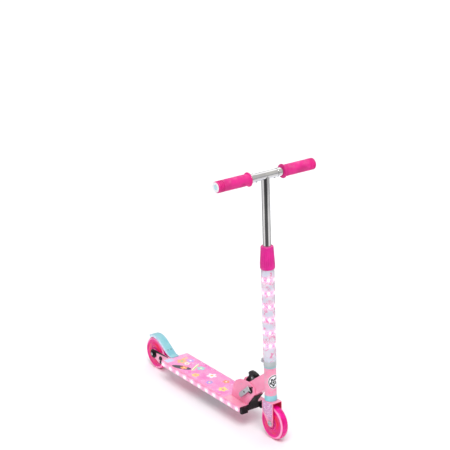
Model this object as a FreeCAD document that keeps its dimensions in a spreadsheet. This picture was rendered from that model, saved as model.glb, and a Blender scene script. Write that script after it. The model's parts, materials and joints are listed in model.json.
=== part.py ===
import FreeCAD, Part
import math
import os

import Sketcher

# Folding children's kick scooter with lights, in millimetres.
# Frame: +X forward, +Y to the rider's left, +Z up, origin on the ground under the middle of
# the wheelbase. Column pieces are drawn in the column's own frame: its +Z runs up the steering
# axis, and its zero is level with the front axle.

DIMENSIONS = (
    ("wheelbase", 580, "distance between the two axles"),
    ("wheel_dia", 100, "outside of the tyre"),
    ("wheel_width", 24, "across the tyre"),
    ("tyre_round", 8, "rounding of the tread's edges"),
    ("core_dia", 42, "outside of the wheel core, inside of the tyre"),
    ("rake", 3, "degrees that the column leans back"),
    ("fork_offset", 15.3, "front axle ahead of the steering axis"),
    ("bar_height", 723.8, "crossbar axis above the axle, along the column"),
    ("run_gap", 0.3, "air between faces that move past each other"),
    ("bore_gap", 0.05, "radial clearance of a shaft in its bore"),
    ("axle_dia", 8, "both wheel axles"),
    ("bearing_dia", 22, "outside of a wheel bearing"),
    ("bearing_width", 7, "width of a wheel bearing"),
    ("core_web", 11, "core width around the light ring groove's shoulders"),
    ("ring_dia", 33, "outside of the wheel's light ring board"),
    ("deck_top", 67, "standing surface above the ground"),
    ("deck_height", 17, "depth of the deck channel"),
    ("deck_wall", 2, "sheet of the deck channel"),
    ("deck_width", 90, "deck channel without its light strips"),
    ("deck_front_back", 104, "deck's front end behind the front axle"),
    ("deck_gap", 38, "deck's rear end ahead of the rear tyre"),
    ("lens_thick", 4, "light strip lens"),
    ("lens_height", 15, "light strip lens"),
    ("lens_wall", 1.6, "outer wall of the lens"),
    ("board_thick", 0.8, "circuit boards"),
    ("led_first", 10.5, "outermost deck lights from the deck's ends"),
    ("led_long", 5, "deck light"),
    ("led_deep", 1.2, "deck light"),
    ("led_tall", 3.5, "deck light"),
    ("sheet_thick", 0.5, "printed grip sheet on the deck"),
    ("sheet_start", 24, "grip sheet from the deck's rear end"),
    ("sheet_gap", 5, "grip sheet's front edge behind the fold bracket"),
    ("sheet_width", 86, "grip sheet"),
    ("cap_thick", 4, "end cap on the deck's front"),
    ("cap_block", 11, "corner blocks of the end cap, forward"),
    ("cap_block_width", 21, "corner blocks of the end cap, across"),
    ("cap_drop", 3, "corner blocks below the deck"),
    ("pivot_back", 90, "fold hinge behind the front axle"),
    ("pivot_high", 18, "fold hinge above the top of the wheel"),
    ("bracket_back", 90, "fold bracket's rear end behind the hinge"),
    ("bracket_gap", 30, "between the fold bracket's plates"),
    ("plate_thick", 3, "bracket plates, dropouts and fork sides"),
    ("base_thick", 3, "fold bracket's base"),
    ("skewer_dia", 8, "fold hinge skewer"),
    ("bush_dia", 12, "bush pressed into the neck"),
    ("neck_hub", 18, "radius of the neck's end round the skewer"),
    ("catch_back", 43, "catch pins behind the fold hinge"),
    ("catch_up", 6, "catch pins above the fold hinge"),
    ("catch_dia", 9, "catch pins"),
    ("catch_gap", 23, "between the two catch pins"),
    ("latch_width", 10, "latch lever"),
    ("latch_pin_dia", 4, "latch lever's pivot pin"),
    ("ear_gap", 17, "between the latch lever's ears"),
    ("ear_thick", 2, "latch lever's ears"),
    ("release_long", 56, "quick release lever"),
    ("release_wide", 16, "quick release lever"),
    ("release_thick", 6, "quick release lever"),
    ("release_angle", 42, "degrees that the closed lever points below the rear"),
    ("washer_dia", 19, "cam washer"),
    ("washer_thick", 3, "cam washer"),
    ("head_dia", 34, "head tube outside"),
    ("head_bore", 30, "head tube inside"),
    ("head_low", 80.4, "head tube's lower end up the column"),
    ("head_high", 162.5, "head tube's upper end up the column"),
    ("headset_width", 7, "headset bearings"),
    ("crown_top", 63.9, "top of the fork crown up the column"),
    ("fork_gap", 26.6, "inside the fork and the rear dropouts"),
    ("fork_front", 29, "fork crown ahead of the steering axis"),
    ("fork_back", 20, "fork crown behind the steering axis"),
    ("fork_knee", 28, "where the fork's rear edge turns to the axle"),
    ("fork_end", 12, "radius of the fork end round the axle"),
    ("tube_dia", 22.2, "steerer and T-bar tube outside"),
    ("tube_bore", 18.4, "steerer and T-bar tube inside"),
    ("steerer_top", 228, "top of the steerer up the column"),
    ("column_dia", 28, "column tube outside"),
    ("column_bore", 22.8, "column tube inside"),
    ("column_top", 505, "top of the column tube"),
    ("clamp_low", 168.8, "lower end of the column clamp"),
    ("clamp_height", 14.2, "column clamp"),
    ("clamp_wall", 4.2, "column clamp"),
    ("clamp_reach", 31, "clamp ears behind the steering axis"),
    ("casing_dia", 37, "clear light casing outside"),
    ("casing_wall", 1.8, "clear light casing"),
    ("casing_top", 455.4, "top of the light casing"),
    ("sleeve_wall", 0.8, "light carrier sleeve round the column tube"),
    ("ring_first", 232.5, "lowest ring of column lights"),
    ("ring_pitch", 38.8, "between rings of column lights"),
    ("collar_top", 521.5, "top of the lock collar"),
    ("collar_top_dia", 36, "lock collar at its top"),
    ("collar_low_dia", 42, "lock collar at its foot"),
    ("ferrule_drop", 0.6, "ferrule's top below the lock collar's top"),
    ("stem_low", 396, "foot of the T-bar stem when raised"),
    ("bar_reach", 52, "half length of the crossbar"),
    ("socket_reach", 38, "inner end of the socket sleeves"),
    ("socket_dia", 24.6, "socket sleeves on the crossbar"),
    ("handle_dia", 18.2, "handle tubes inside the crossbar"),
    ("handle_start", 22, "handle tubes' inner ends from the middle"),
    ("snap_at", 31, "snap buttons from the middle"),
    ("snap_dia", 6, "snap buttons"),
    ("grip_start", 56.5, "grips' inner ends from the middle"),
    ("grip_end", 165, "grips' outer ends from the middle"),
    ("grip_dia", 33, "grips"),
    ("flange_dia", 40, "grips' inner flanges"),
    ("plug_dia", 28, "grip end plugs"),
    ("plug_thick", 2, "grip end plugs outside the grip"),
    ("fender_width", 25, "fender sheet"),
    ("fender_thick", 2, "fender sheet"),
    ("fender_gap", 6.5, "fender above the tyre"),
    ("fender_pin_dia", 5, "fender hinge pin"),
    ("fender_pin_back", 5.2, "fender hinge pin behind the deck"),
    ("fender_pin_high", 57, "fender hinge pin above the ground"),
    ("fender_eye", 9, "fender's eye round its pin"),
    ("box_length", 124, "battery box under the deck"),
    ("box_width", 60, "battery box under the deck"),
    ("box_wall", 1.6, "battery box"),
    ("cell_dia", 10.5, "small round cells"),
    ("cell_length", 44.5, "small round cells"),
    ("switch_dia", 9, "light switch buttons"),
    ("column_switch_at", 203, "column switch button up the column"),
    ("rivet_dia", 5, "rivets and small screws"),
)

COLUMN_RINGS = 6
LEDS_PER_RING = 6
DECK_LEDS = 11
WHEEL_LEDS = 6

DOC = FreeCAD.newDocument("kick_scooter")
NODES = []
UP = FreeCAD.Vector(0, 0, 1)
TO_LEFT = FreeCAD.Vector(0, 1, 0)
TO_RIGHT = FreeCAD.Vector(0, -1, 0)
BACKWARD = FreeCAD.Vector(-1, 0, 0)


class Size:
    """A size that knows its number and the expression that gives it in the sheet."""

    def __init__(self, value, text):
        self.value = value
        self.text = text

    def __add__(self, other):
        return Size(self.value + number(other), f"({self.text} + {wording(other)})")

    def __sub__(self, other):
        return Size(self.value - number(other), f"({self.text} - {wording(other)})")

    def __mul__(self, other):
        return Size(self.value * number(other), f"({self.text} * {wording(other)})")

    def __truediv__(self, other):
        return Size(self.value / number(other), f"({self.text} / {wording(other)})")

    def __neg__(self):
        return Size(-self.value, f"(-1 * {self.text})")

    def __radd__(self, other):
        return self + other

    def __rmul__(self, other):
        return self * other

    def __rsub__(self, other):
        return -self + other


def number(item):
    """The plain number of a size."""
    return item.value if isinstance(item, Size) else item


def wording(item):
    """The expression of a size."""
    return item.text if isinstance(item, Size) else str(item)


def sine(angle):
    """Sine of an angle in degrees."""
    return Size(math.sin(math.radians(angle.value)), f"sin({angle.text})")


def cosine(angle):
    """Cosine of an angle in degrees."""
    return Size(math.cos(math.radians(angle.value)), f"cos({angle.text})")


class Sheet:
    """The spreadsheet of driving dimensions, read by alias."""

    def __init__(self):
        cells = DOC.addObject("Spreadsheet::Sheet", "dims")
        self.values = {}
        for row, (alias, value, note) in enumerate(DIMENSIONS, start=1):
            cells.set(f"A{row}", note)
            cells.set(f"B{row}", str(value))
            cells.setAlias(f"B{row}", alias)
            self.values[alias] = float(value)
        DOC.recompute()

    def __getattr__(self, alias):
        return Size(self.values[alias], "dims." + alias)


S = Sheet()

# Places worked out from the driving dimensions.
AXLE_Z = S.wheel_dia / 2
FRONT_X = S.wheelbase / 2
REAR_X = -FRONT_X
COLUMN_X = FRONT_X - S.fork_offset * cosine(S.rake)
COLUMN_Z = AXLE_Z - S.fork_offset * sine(S.rake)
DECK_REAR = REAR_X + AXLE_Z + S.deck_gap
DECK_FRONT = FRONT_X - S.deck_front_back
DECK_LOW = S.deck_top - S.deck_height
DECK_CEILING = S.deck_top - S.deck_wall
DECK_SIDE = S.deck_width / 2
LED_PITCH = (DECK_FRONT - DECK_REAR - S.led_first * 2) / (DECK_LEDS - 1)
PIVOT_X = FRONT_X - S.pivot_back
PIVOT_Z = S.wheel_dia + S.pivot_high
BRACKET_REAR = PIVOT_X - S.bracket_back
BRACKET_IN = S.bracket_gap / 2
BRACKET_OUT = BRACKET_IN + S.plate_thick
FORK_IN = S.fork_gap / 2
FORK_OUT = FORK_IN + S.plate_thick
FENDER_PIN_X = DECK_REAR - S.fender_pin_back
FENDER_PIN_Z = S.fender_pin_high
CROWN_LOW = S.crown_top - S.plate_thick
CLAMP_HIGH = S.clamp_low + S.clamp_height
CATCH_X = PIVOT_X - S.catch_back
CATCH_Z = PIVOT_Z + S.catch_up
LATCH_X = PIVOT_X - 3
LATCH_Z = PIVOT_Z + 36.5
HUB_SIDE = S.wheel_width / 2


# ---------------------------------------------------------------- building blocks

def bind(item, name, size):
    """Set a property, bound to the sheet where the size comes from it."""
    setattr(item, name, number(size))
    if isinstance(size, Size):
        item.setExpression(name, size.text)


def stand(item, place, axis=UP, angle=0.0):
    """Put an object at a place, turned about an axis."""
    turn = FreeCAD.Rotation(axis, number(angle))
    item.Placement = FreeCAD.Placement(FreeCAD.Vector(*(number(part) for part in place)), turn)
    for name, part in zip("xyz", place):
        if isinstance(part, Size):
            item.setExpression(f".Placement.Base.{name}", part.text)
    if isinstance(angle, Size):
        item.setExpression(".Placement.Rotation.Angle", angle.text)
    return item


def on_column(item):
    """Put an object drawn in the column's frame in its place."""
    return stand(item, (COLUMN_X, 0, COLUMN_Z), TO_RIGHT, S.rake)


def on_axle(item, x, z=AXLE_Z, y=0):
    """Turn an object drawn about +Z so that it lies along +Y."""
    return stand(item, (x, y, z), BACKWARD, 90)


def node(item, label):
    """Name an object as a piece of the scooter."""
    item.Label = label
    NODES.append(item)
    return item


def new_body(name):
    """An empty body."""
    return DOC.addObject("PartDesign::Body", name)


def new_sketch(body, plane, start):
    """An empty sketch on one of the body's own planes, moved along its normal."""
    sketch = body.newObject("Sketcher::SketchObject", body.Name + "_sketch")
    base = [item for item in body.Origin.OriginFeatures if item.Role == plane + "_Plane"][0]
    sketch.AttachmentSupport = [(base, "")]
    sketch.MapMode = "FlatFace"
    sketch.AttachmentOffset = FreeCAD.Placement(UP * number(start), FreeCAD.Rotation())
    if isinstance(start, Size):
        sketch.setExpression(".AttachmentOffset.Base.z", start.text)
    return sketch


def hold(sketch, kind, geometry, vertex, size):
    """Hold one coordinate of a vertex at a size."""
    link = Sketcher.Constraint(kind, -1, 1, geometry, vertex, number(size))
    index = sketch.addConstraint(link)
    if isinstance(size, Size):
        sketch.setExpression(f"Constraints[{index}]", size.text)


def polygon(sketch, points):
    """Closed run of straight lines, with every corner held."""
    first = sketch.GeometryCount
    corners = [FreeCAD.Vector(number(across), number(up), 0) for across, up in points]
    for begin, end in zip(corners, corners[1:] + corners[:1]):
        sketch.addGeometry(Part.LineSegment(begin, end), False)
    count = len(points)
    for index, (across, up) in enumerate(points):
        here = first + index
        after = first + (index + 1) % count
        sketch.addConstraint(Sketcher.Constraint("Coincident", here, 2, after, 1))
        hold(sketch, "DistanceX", here, 1, across)
        hold(sketch, "DistanceY", here, 1, up)


def circle(sketch, centre, radius):
    """A circle held at its centre and radius."""
    middle = FreeCAD.Vector(number(centre[0]), number(centre[1]), 0)
    index = sketch.addGeometry(Part.Circle(middle, UP, number(radius)), False)
    hold(sketch, "DistanceX", index, 3, centre[0])
    hold(sketch, "DistanceY", index, 3, centre[1])
    link = sketch.addConstraint(Sketcher.Constraint("Radius", index, number(radius)))
    if isinstance(radius, Size):
        sketch.setExpression(f"Constraints[{link}]", radius.text)


def start_of(plane, low, high):
    """Where a sketch starts, so that its normal runs from one end to the other."""
    return -high if plane == "XZ" else low


def pad(body, plane, low, high, points=None, discs=()):
    """Add a flat outline, or discs, between two levels along the plane's row axis."""
    sketch = new_sketch(body, plane, start_of(plane, low, high))
    if points:
        polygon(sketch, points)
    for centre, radius in discs:
        circle(sketch, centre, radius)
    feature = body.newObject("PartDesign::Pad", body.Name + "_pad")
    feature.Profile = sketch
    bind(feature, "Length", high - low)
    return feature


def pocket(body, plane, low, high, points=None, discs=()):
    """Cut a flat outline, or discs, between two levels, and check that it cuts."""
    DOC.recompute()
    before = body.Shape.Volume
    sketch = new_sketch(body, plane, start_of(plane, low, high))
    if points:
        polygon(sketch, points)
    for centre, radius in discs:
        circle(sketch, centre, radius)
    feature = body.newObject("PartDesign::Pocket", body.Name + "_pocket")
    feature.Profile = sketch
    bind(feature, "Length", high - low)
    feature.Reversed = True
    DOC.recompute()
    if body.Shape.Volume >= before:
        raise RuntimeError(f"{body.Label}: a pocket cuts nothing")
    return feature


def turned(body, points):
    """Turn a profile of radius and height about +Z."""
    sketch = new_sketch(body, "XZ", 0)
    polygon(sketch, points)
    feature = body.newObject("PartDesign::Revolution", body.Name + "_turn")
    feature.Profile = sketch
    feature.ReferenceAxis = (sketch, ["V_Axis"])
    feature.Angle = 360
    return feature


def rounded(body, radius, chosen):
    """Fillet the edges that a test chooses."""
    DOC.recompute()
    tip = body.Tip
    names = [f"Edge{at}" for at, edge in enumerate(tip.Shape.Edges, start=1) if chosen(edge)]
    feature = body.newObject("PartDesign::Fillet", body.Name + "_round")
    feature.Base = (tip, names)
    bind(feature, "Radius", radius)
    return feature


def straight_along(direction):
    """A test for straight edges along a direction."""
    def chosen(edge):
        if edge.Curve.TypeId != "Part::GeomLine":
            return False
        return abs(edge.Curve.Direction.dot(direction)) > 0.999
    return chosen


def circles_of(radius):
    """A test for round edges of a radius."""
    def chosen(edge):
        if edge.Curve.TypeId != "Part::GeomCircle":
            return False
        return abs(edge.Curve.Radius - number(radius)) < 0.01
    return chosen


def tube_points(inner, outer, low, high):
    """Profile of a plain ring: inner and outer radius between two heights."""
    return ((inner, low), (outer, low), (outer, high), (inner, high))


def ring(name, inner, outer, low, high):
    """A plain turned ring or tube."""
    body = new_body(name)
    turned(body, tube_points(inner, outer, low, high))
    return body


def rod(name, radius, low, high):
    """A plain round bar along +Z."""
    item = DOC.addObject("Part::Cylinder", name)
    bind(item, "Radius", radius)
    bind(item, "Height", high - low)
    return stand(item, (0, 0, low))


def cross_rod(name, radius, x, z, half):
    """A round bar along Y, centred on the middle plane."""
    item = DOC.addObject("Part::Cylinder", name)
    bind(item, "Radius", radius)
    bind(item, "Height", half * 2)
    return on_axle(item, x, z, -half)


def block(name, low, high):
    """A box between two corners."""
    item = DOC.addObject("Part::Box", name)
    for side, bottom, top in zip(("Length", "Width", "Height"), low, high):
        bind(item, side, top - bottom)
    return stand(item, low)


def group(name, items):
    """Several solids as one piece."""
    item = DOC.addObject("Part::Compound", name)
    item.Links = items
    return item


def fused(name, items):
    """Several shapes joined into one solid."""
    item = DOC.addObject("Part::MultiFuse", name)
    item.Shapes = items
    return item


def without(name, base, tool):
    """One shape less another."""
    item = DOC.addObject("Part::Cut", name)
    item.Base = base
    item.Tool = tool
    return item


# ---------------------------------------------------------------- wheels

def wheel(end, x):
    """Tyre, core, bearings and light ring of one wheel."""
    core = S.core_dia / 2
    seat = S.bearing_dia / 2
    bearing_in = HUB_SIDE - S.bearing_width
    groove = S.core_web / 2

    tyre = new_body(end + "_tyre")
    turned(tyre, tube_points(core, AXLE_Z, -HUB_SIDE, HUB_SIDE))
    rounded(tyre, S.tyre_round, circles_of(AXLE_Z))
    node(on_axle(tyre, x), end + "_tyre")

    board = S.ring_dia / 2
    hub = new_body(end + "_wheel_core")
    turned(hub, (
        (seat, -HUB_SIDE), (core, -HUB_SIDE), (core, -groove), (board - 1.5, -groove),
        (board - 1.5, groove), (core, groove), (core, HUB_SIDE), (seat, HUB_SIDE),
        (seat, bearing_in), (seat - 1.5, bearing_in), (seat - 1.5, -bearing_in),
        (seat, -bearing_in),
    ))
    node(on_axle(hub, x), end + "_wheel_core")

    bearings = [bearing(f"{end}_bearing_{side}", low)
                for side, low in (("left", bearing_in), ("right", -HUB_SIDE))]
    node(on_axle(group(end + "_wheel_bearings", bearings), x), end + "_wheel_bearings")

    lights = [ring(end + "_light_board", board - 1.5, board, 0.8 - groove, groove - 0.8)]
    for index in range(WHEEL_LEDS):
        angle = math.radians(360.0 / WHEEL_LEDS * index)
        led = block(f"{end}_wheel_led_{index}", (board, -2.0, -2.0), (board + 3.0, 2.0, 2.0))
        led.Placement = FreeCAD.Placement(
            FreeCAD.Vector(), FreeCAD.Rotation(UP, math.degrees(angle))) * led.Placement
        led.setExpression(".Placement.Base.x", f"{board.text} * cos({math.degrees(angle)})"
                          f" + 2 * sin({math.degrees(angle)})")
        led.setExpression(".Placement.Base.y", f"{board.text} * sin({math.degrees(angle)})"
                          f" - 2 * cos({math.degrees(angle)})")
        lights.append(led)
    node(on_axle(group(end + "_wheel_lights", lights), x), end + "_wheel_lights")


def bearing(name, low):
    """A shielded ball bearing, drawn about +Z."""
    bore = S.axle_dia / 2 + S.bore_gap
    outer = S.bearing_dia / 2
    race = 2.0
    recess = 0.4
    high = low + S.bearing_width
    body = new_body(name)
    turned(body, (
        (bore, low), (bore + race, low), (bore + race, low + recess),
        (outer - race, low + recess), (outer - race, low), (outer, low),
        (outer, high), (outer - race, high), (outer - race, high - recess),
        (bore + race, high - recess), (bore + race, high), (bore, high),
    ))
    return body


def axle_set(end, x, half):
    """Axle bolt, nut, side spacers and the magnet spacer between the bearings."""
    radius = S.axle_dia / 2
    head = 8.0
    head_high = 4.5
    socket = 2.5
    bolt = new_body(end + "_axle_bolt")
    turned(bolt, (
        (0, -half - head_high), (head - 2.5, -half - head_high), (head, -half - 2.0),
        (head, -half), (radius, -half), (radius, half + 6.5), (0, half + 6.5),
    ))
    pocket(bolt, "XY", -half - head_high, -half - 2.0, hexagon(socket))

    nut = new_body(end + "_axle_nut")
    pad(nut, "XY", half, half + 5.5, hexagon(7.0))
    pocket(nut, "XY", half, half + 5.5, discs=(((0, 0), radius + S.bore_gap),))

    bore = radius + S.bore_gap
    start = HUB_SIDE + S.bore_gap
    bearing_in = HUB_SIDE - S.bearing_width
    spacers = [
        ring(end + "_spacer_left", bore, radius + 2.4, start, FORK_IN),
        ring(end + "_spacer_right", bore, radius + 2.4, -FORK_IN, -start),
        ring(end + "_magnet", bore, radius + 3.6, S.bore_gap - bearing_in,
             bearing_in - S.bore_gap),
    ]
    pieces = [bolt, nut] + spacers
    node(on_axle(group(end + "_axle", pieces), x), end + "_axle")


def hexagon(flat):
    """Corners of a hexagon with the given half width across its flats."""
    reach = flat / math.cos(math.radians(30))
    return [(reach * math.cos(math.radians(60 * turn)), reach * math.sin(math.radians(60 * turn)))
            for turn in range(6)]


# ---------------------------------------------------------------- deck

def deck():
    """Deck channel, grip sheet and front end cap."""
    shell = new_body("deck_shell")
    plan = ((DECK_REAR, -DECK_SIDE), (DECK_FRONT, -DECK_SIDE), (DECK_FRONT, DECK_SIDE),
            (DECK_REAR, DECK_SIDE))
    pad(shell, "XY", DECK_LOW, S.deck_top, plan)
    inside = DECK_SIDE - S.deck_wall
    hollow = ((DECK_REAR - 1, -inside), (DECK_FRONT + 1, -inside), (DECK_FRONT + 1, inside),
              (DECK_REAR - 1, inside))
    pocket(shell, "XY", DECK_LOW - 1, DECK_CEILING, hollow)
    node(shell, "deck_shell")

    start = DECK_REAR + S.sheet_start
    end = BRACKET_REAR - S.sheet_gap
    half = S.sheet_width / 2
    grip = new_body("deck_grip_sheet")
    pad(grip, "XY", S.deck_top, S.deck_top + S.sheet_thick, (
        (start, -half), (end, -half), (end, half), (start, half)))
    rounded(grip, 6.0, straight_along(UP))
    node(grip, "deck_grip_sheet")

    cap = new_body("deck_front_cap")
    pad(cap, "YZ", DECK_FRONT, DECK_FRONT + S.cap_thick, (
        (-DECK_SIDE, DECK_LOW), (DECK_SIDE, DECK_LOW), (DECK_SIDE, S.deck_top - 1),
        (-DECK_SIDE, S.deck_top - 1)))
    for side in (-1, 1):
        outer = DECK_SIDE * side
        inner = (DECK_SIDE - S.cap_block_width) * side
        pad(cap, "YZ", DECK_FRONT + 0.5, DECK_FRONT + S.cap_block, (
            (outer, DECK_LOW - S.cap_drop), (outer, S.deck_top - 1),
            (inner, S.deck_top - 1), (inner, DECK_LOW - S.cap_drop)))
    rounded(cap, 2.0, lambda edge: straight_along(TO_LEFT)(edge)
            and edge.CenterOfMass.x > number(DECK_FRONT + S.cap_thick) + 1)
    node(cap, "deck_front_cap")


def light_strip(side_name, side):
    """Lens, circuit board and lights along one side of the deck, as three lists."""
    low = DECK_LOW + 1
    high = low + S.lens_height
    outer = DECK_SIDE + S.lens_thick
    start = DECK_REAR
    end = DECK_FRONT
    lens = new_body(side_name + "_light_lens")
    pad(lens, "YZ", start, end, (
        (DECK_SIDE * side, low), (outer * side, low + 1.2), (outer * side, high - 1.2),
        (DECK_SIDE * side, high)))
    inner = outer - S.lens_wall
    pocket(lens, "YZ", start + 2, end - 2, (
        (DECK_SIDE * side, low + 2), (inner * side, low + 2), (inner * side, high - 2),
        (DECK_SIDE * side, high - 2)))

    board_face = DECK_SIDE + S.board_thick
    near, far = sorted((DECK_SIDE * side, board_face * side), key=number)
    board = block(side_name + "_light_board", (start + 3, near, low + 3), (end - 3, far, high - 3))

    middle = low + S.lens_height / 2
    leds = []
    near, far = sorted((board_face * side, (board_face + S.led_deep) * side), key=number)
    for index in range(DECK_LEDS):
        centre = start + S.led_first + LED_PITCH * index
        leds.append(block(
            f"{side_name}_deck_led_{index}",
            (centre - S.led_long / 2, near, middle - S.led_tall / 2),
            (centre + S.led_long / 2, far, middle + S.led_tall / 2)))
    return lens, board, leds


def light_strips():
    """The light strips on both sides of the deck."""
    right_lens, right_board, right_leds = light_strip("right", -1)
    left_lens, left_board, left_leds = light_strip("left", 1)
    node(group("lenses", [right_lens, left_lens]), "deck_light_lenses")
    node(group("boards", [right_board, left_board]), "deck_light_boards")
    node(group("leds", right_leds + left_leds), "deck_lights")


def battery_bay():
    """Battery box, cells, lid and switch button under the deck; returns the lid's screws."""
    half_long = S.box_length / 2
    half_wide = S.box_width / 2
    lid_thick = 1.6
    lid_top = DECK_LOW + lid_thick
    box = new_body("battery_box")
    pad(box, "XY", lid_top, DECK_CEILING, (
        (-half_long, -half_wide), (half_long, -half_wide), (half_long, half_wide),
        (-half_long, half_wide)))
    cells_end = half_long - S.box_wall - 18
    inside = half_wide - S.box_wall
    pocket(box, "XY", lid_top, DECK_CEILING - S.box_wall, (
        (-half_long + S.box_wall, -inside), (cells_end, -inside), (cells_end, inside),
        (-half_long + S.box_wall, inside)))
    switch_x = half_long - 11
    radius = S.switch_dia / 2
    pocket(box, "XY", lid_top, DECK_CEILING - S.box_wall,
           discs=(((switch_x, 0), radius + S.run_gap),))
    node(box, "battery_box")

    lid = new_body("battery_lid")
    pad(lid, "XY", DECK_LOW, lid_top, (
        (-half_long, -half_wide), (half_long, -half_wide), (half_long, half_wide),
        (-half_long, half_wide)))
    pocket(lid, "XY", DECK_LOW, lid_top, discs=(((switch_x, 0), radius + S.run_gap),))
    node(lid, "battery_lid")

    cells = []
    cell_radius = S.cell_dia / 2
    row_start = -half_long + S.box_wall + 2
    for row in range(3):
        for column in range(2):
            cell = DOC.addObject("Part::Cylinder", f"deck_cell_{row}_{column}")
            bind(cell, "Radius", cell_radius)
            bind(cell, "Height", S.cell_length)
            place = (row_start + (S.cell_length + 1) * column, (S.cell_dia + 6) * (row - 1),
                     lid_top + cell_radius + S.run_gap)
            cells.append(stand(cell, place, TO_LEFT, 90))
    node(group("deck_cells", cells), "deck_cells")

    screws = []
    for x in (-half_long + 5, half_long - 5):
        for side in (-1, 1):
            screw = rod(f"lid_screw_{len(screws)}", S.rivet_dia / 2, 0, 1.2)
            screws.append(stand(screw, (x, (half_wide - 5) * side, DECK_LOW - 1.2)))

    button = new_body("deck_switch_button")
    rise = 6
    turned(button, ((0, -1.5), (radius - 1, -1.5), (radius, -0.7), (radius, rise), (0, rise)))
    node(stand(button, (switch_x, 0, DECK_LOW)), "deck_switch_button")
    return screws


# ---------------------------------------------------------------- fold bracket

def bracket():
    """Fold bracket, cover, catch pin, skewer and washer; returns its screws and rivets."""
    plate = (
        (BRACKET_REAR, S.deck_top), (PIVOT_X - 13, S.deck_top), (PIVOT_X - 10, PIVOT_Z - 44),
        (PIVOT_X + 20, PIVOT_Z - 5), (PIVOT_X + 17, PIVOT_Z + 12), (PIVOT_X - 8, PIVOT_Z + 23),
        (PIVOT_X - 50, PIVOT_Z + 17), (PIVOT_X - 70, PIVOT_Z + 5), (PIVOT_X - 81, PIVOT_Z - 12),
    )
    holes = (
        ((PIVOT_X, PIVOT_Z), S.skewer_dia / 2 + S.bore_gap),
        ((CATCH_X, CATCH_Z), S.catch_dia / 2),
    )
    plates = []
    for name, low, high in (("right", -BRACKET_OUT, -BRACKET_IN),
                            ("left", BRACKET_IN, BRACKET_OUT)):
        body = new_body(name + "_bracket_plate")
        pad(body, "XZ", low, high, plate)
        rounded(body, 3.0, lambda edge: straight_along(TO_LEFT)(edge)
                and edge.CenterOfMass.z > number(S.deck_top) + 1)
        pocket(body, "XZ", low, high, discs=holes)
        plates.append(body)

    base_front = PIVOT_X - 15
    base = new_body("bracket_base")
    pad(base, "XY", S.deck_top, S.deck_top + S.base_thick, (
        (BRACKET_REAR, -BRACKET_IN), (base_front, -BRACKET_IN), (base_front, BRACKET_IN),
        (BRACKET_REAR, BRACKET_IN)))
    node(group("bracket", plates + [base]), "fold_bracket")

    bolts = []
    for x in (BRACKET_REAR + 12, base_front - 14):
        for side in (-1, 1):
            bolt = rod(f"base_bolt_{len(bolts)}", S.rivet_dia / 2 + 1, 0, 2.4)
            bolts.append(stand(bolt, (x, (BRACKET_IN - 7) * side, S.deck_top + S.base_thick)))

    cover = new_body("bracket_front_cover")
    foot = S.deck_top + S.run_gap
    pad(cover, "XZ", -BRACKET_IN, BRACKET_IN, (
        (PIVOT_X - 13.5, foot), (PIVOT_X - 8, foot), (PIVOT_X - 5, PIVOT_Z - 40),
        (PIVOT_X + 15.5, PIVOT_Z - 14), (PIVOT_X + 12.5, PIVOT_Z - 15.5),
        (PIVOT_X - 9, PIVOT_Z - 38)))
    node(cover, "bracket_front_cover")

    catches = []
    stub = BRACKET_OUT + 1 - S.catch_gap / 2
    for side, start in (("right", -BRACKET_OUT - 1), ("left", S.catch_gap / 2)):
        catch = rod("catch_" + side, S.catch_dia / 2, 0, stub)
        catches.append(on_axle(catch, CATCH_X, CATCH_Z, start))
    node(group("catches", catches), "latch_catch_pins")

    head = 2.0
    rivets = []
    for side in (-1, 1):
        rivet = rod(f"bracket_rivet_{side}", S.rivet_dia / 2, 0, head)
        face = BRACKET_OUT if side > 0 else -BRACKET_OUT - head
        rivets.append(on_axle(rivet, PIVOT_X + 8, PIVOT_Z + 12, face))

    skewer = new_body("skewer_bar")
    radius = S.skewer_dia / 2
    right = -BRACKET_OUT - S.washer_thick
    turned(skewer, ((0, right), (radius, right), (radius, BRACKET_OUT + 7),
                    (0, BRACKET_OUT + 7)))

    washer = ring("cam_washer", radius + S.bore_gap, S.washer_dia / 2, right, -BRACKET_OUT)
    rounded(washer, 1.0, lambda edge: circles_of(S.washer_dia / 2)(edge)
            and edge.CenterOfMass.z < number(right) + 0.5)
    node(on_axle(washer, PIVOT_X, PIVOT_Z), "cam_washer")

    nut = new_body("skewer_nut")
    pad(nut, "XY", BRACKET_OUT, BRACKET_OUT + 6, hexagon(7.5))
    pocket(nut, "XY", BRACKET_OUT, BRACKET_OUT + 6, discs=(((0, 0), radius + S.bore_gap),))
    node(on_axle(group("skewer", [skewer, nut]), PIVOT_X, PIVOT_Z), "hinge_skewer")
    return bolts, rivets


def quick_release():
    """Oblong lever that lies along the right plate, drawn backward from its pivot."""
    half = S.release_wide / 2
    thick = S.release_thick / 2
    tip = S.release_long - thick - half
    body = new_body("quick_release_lever")
    pad(body, "XY", -half, half, discs=(((0, 0), thick),))
    pad(body, "XZ", -thick, thick, ((0, -half), (0, half), (-tip, half), (-tip, -half)))
    pad(body, "XZ", -thick, thick, discs=(((-tip, 0), half),))
    pocket(body, "XZ", -thick, thick, discs=(((-tip / 2, 0), 3.0),))
    y = -(BRACKET_OUT + S.washer_thick + S.run_gap + thick)
    stand(body, (PIVOT_X - 1.4, y, PIVOT_Z + 6), TO_RIGHT, S.release_angle)
    node(body, "quick_release_lever")


# ---------------------------------------------------------------- neck and head

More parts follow.
